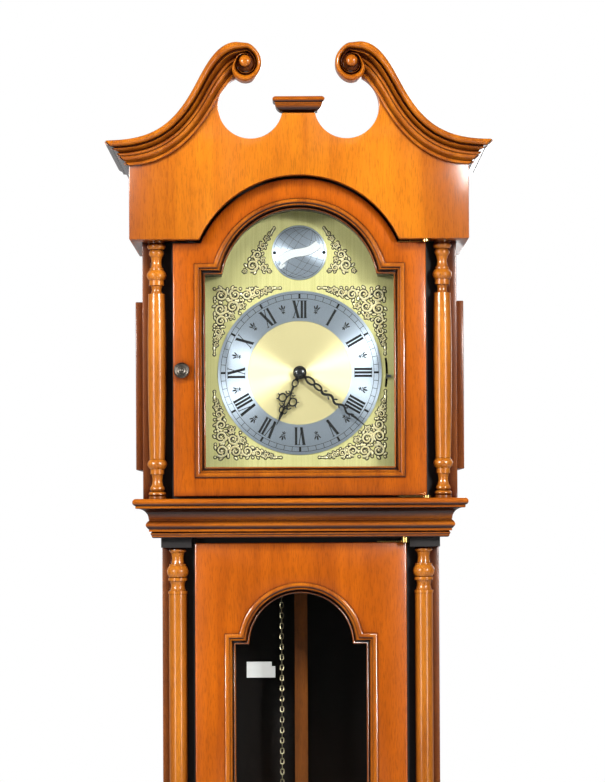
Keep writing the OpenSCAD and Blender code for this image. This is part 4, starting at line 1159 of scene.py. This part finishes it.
# %% Minute hand
MINUTE_BACK, MINUTE_FRONT, MINUTE_AT = -64.0, -65.5, 129.4
WAVE, WAVE_STEPS, SHAFT_FROM, SHAFT_STEP = 2.6, 26, 40, 0.87
SPUR_FROM, SPUR_STEP = 46.0, 9.718
minute, line, spur = hand(MINUTE_BACK, MINUTE_FRONT, MINUTE_AT)
band(minute, 5.1, 9.0, MINUTE_BACK, MINUTE_FRONT, DIAL_CENTRE, 40)
line([(0, 8), (0, 12)], (4.4, 3.2))
line(loop(0, 19.5, 4.0, 7.6, 22), (2.3, 2.3), True)
line(loop(0, 34.0, 3.3, 6.6, 20), (2.2, 2.2), True)
shaft = [(WAVE * math.sin(FULL_TURN * k / WAVE_STEPS), SHAFT_FROM + SHAFT_STEP * k) for k in range(66)]
line(shaft, (3.0, 2.3))
for k in range(6):
    side = 1 if k % 2 else -1
    spur(side * WAVE, SPUR_FROM + SPUR_STEP * k, 1.3, 3.2, side * 34, segments=8)
spur(0, 99, 2.6, 2.4, high=0.8)
line([(0, 96), (0, 108), (0, 116), (0, 123)], (3.0, 0.9))
nut = [(0, -69), (3.2, -68.9), (5.4, -68.3), (7.0, -67.2), (7.8, -65.9), (7.8, -65.5), (5.1, -65.5),
       (5.1, -64.1), (0, -64.1)]
turn(minute, nut, (0, 0, DIAL_Z * MM), 40)
make("minute_hand_pierced", minute, "minute_arbor", "black_hands", ["minute_hand"], flip=False)

# %% [markdown]
# ## The chain
# The driving chain is bent from brass wire, and each link is turned a quarter turn from the last. The long
# side hangs from the sprocket to the weight. As the clock is wound, links run over the sprocket, so this
# side gets shorter and the free side, with its ring, gets longer.

# %% Chain links
PITCH, WIRE, LINK_WIDE = 7.7, 0.62, 5.0
LINK_STEPS, WIRE_SIDES, LINK_OVERLAP = 12, 5, 0.8


def link(x, z, straight, quarter_turned):
    """The rings of one oval link, as places of its wire's section along its path."""
    rings = []
    for i in range(LINK_STEPS):
        a = FULL_TURN * i / LINK_STEPS
        c, sn = math.cos(a), math.sin(a)
        lift = math.copysign(straight, sn) if abs(sn) > 0.01 else 0.0
        ring = []
        for j in range(WIRE_SIDES):
            b = FULL_TURN * j / WIRE_SIDES
            reach = LINK_WIDE / 2 * MM + WIRE * MM * math.cos(b)
            out, side = reach * c, WIRE * MM * math.sin(b)
            flat = (out, side) if quarter_turned else (side, out)
            ring.append(Vector((x + flat[0], flat[1], z + reach * sn + lift)))
        rings.append(ring)
    return rings


def chain(name, node, body):
    """Links from the top of a strand's solid to its foot."""
    low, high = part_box(node)
    x, top, foot = (low.x + high.x) / 2, high.z, low.z
    count = round((top - foot) / MM / PITCH)
    pitch = (top - foot) / count
    straight = pitch / 2 + WIRE * MM * LINK_OVERLAP - LINK_WIDE / 2 * MM
    bm = bmesh.new()
    for k in range(count):
        sweep(bm, link(x, top - pitch * (k + 0.5), straight, k % 2), close_path=True)
    return make(name, bm, body, "chain_brass", [node], crease=60, flip=False)


print("chain helpers ready")

# %% Both strands
long_side = chain("chain_links_weight_side", "chain_weight_side", "case")
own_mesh(long_side)
short_side = chain("chain_links_free_side", "chain_free_side", None)
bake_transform(short_side)

# %% [markdown]
# ## Floor and finish
# A plain pale floor takes the clock's shadow. It is one flat grid, because nothing of it shows but its
# tone, and it isn't part of the clock.

# %% Floor and finish
FLOOR_HALF = 6
floor = bmesh.new()
bmesh.ops.create_grid(floor, x_segments=1, y_segments=1, size=FLOOR_HALF)
floor_mesh = bpy.data.meshes.new("floor")
floor.to_mesh(floor_mesh)
floor.free()
floor_mesh.materials.append(FINISHES["pale_floor"])
floor_object = placed("floor", floor_mesh)
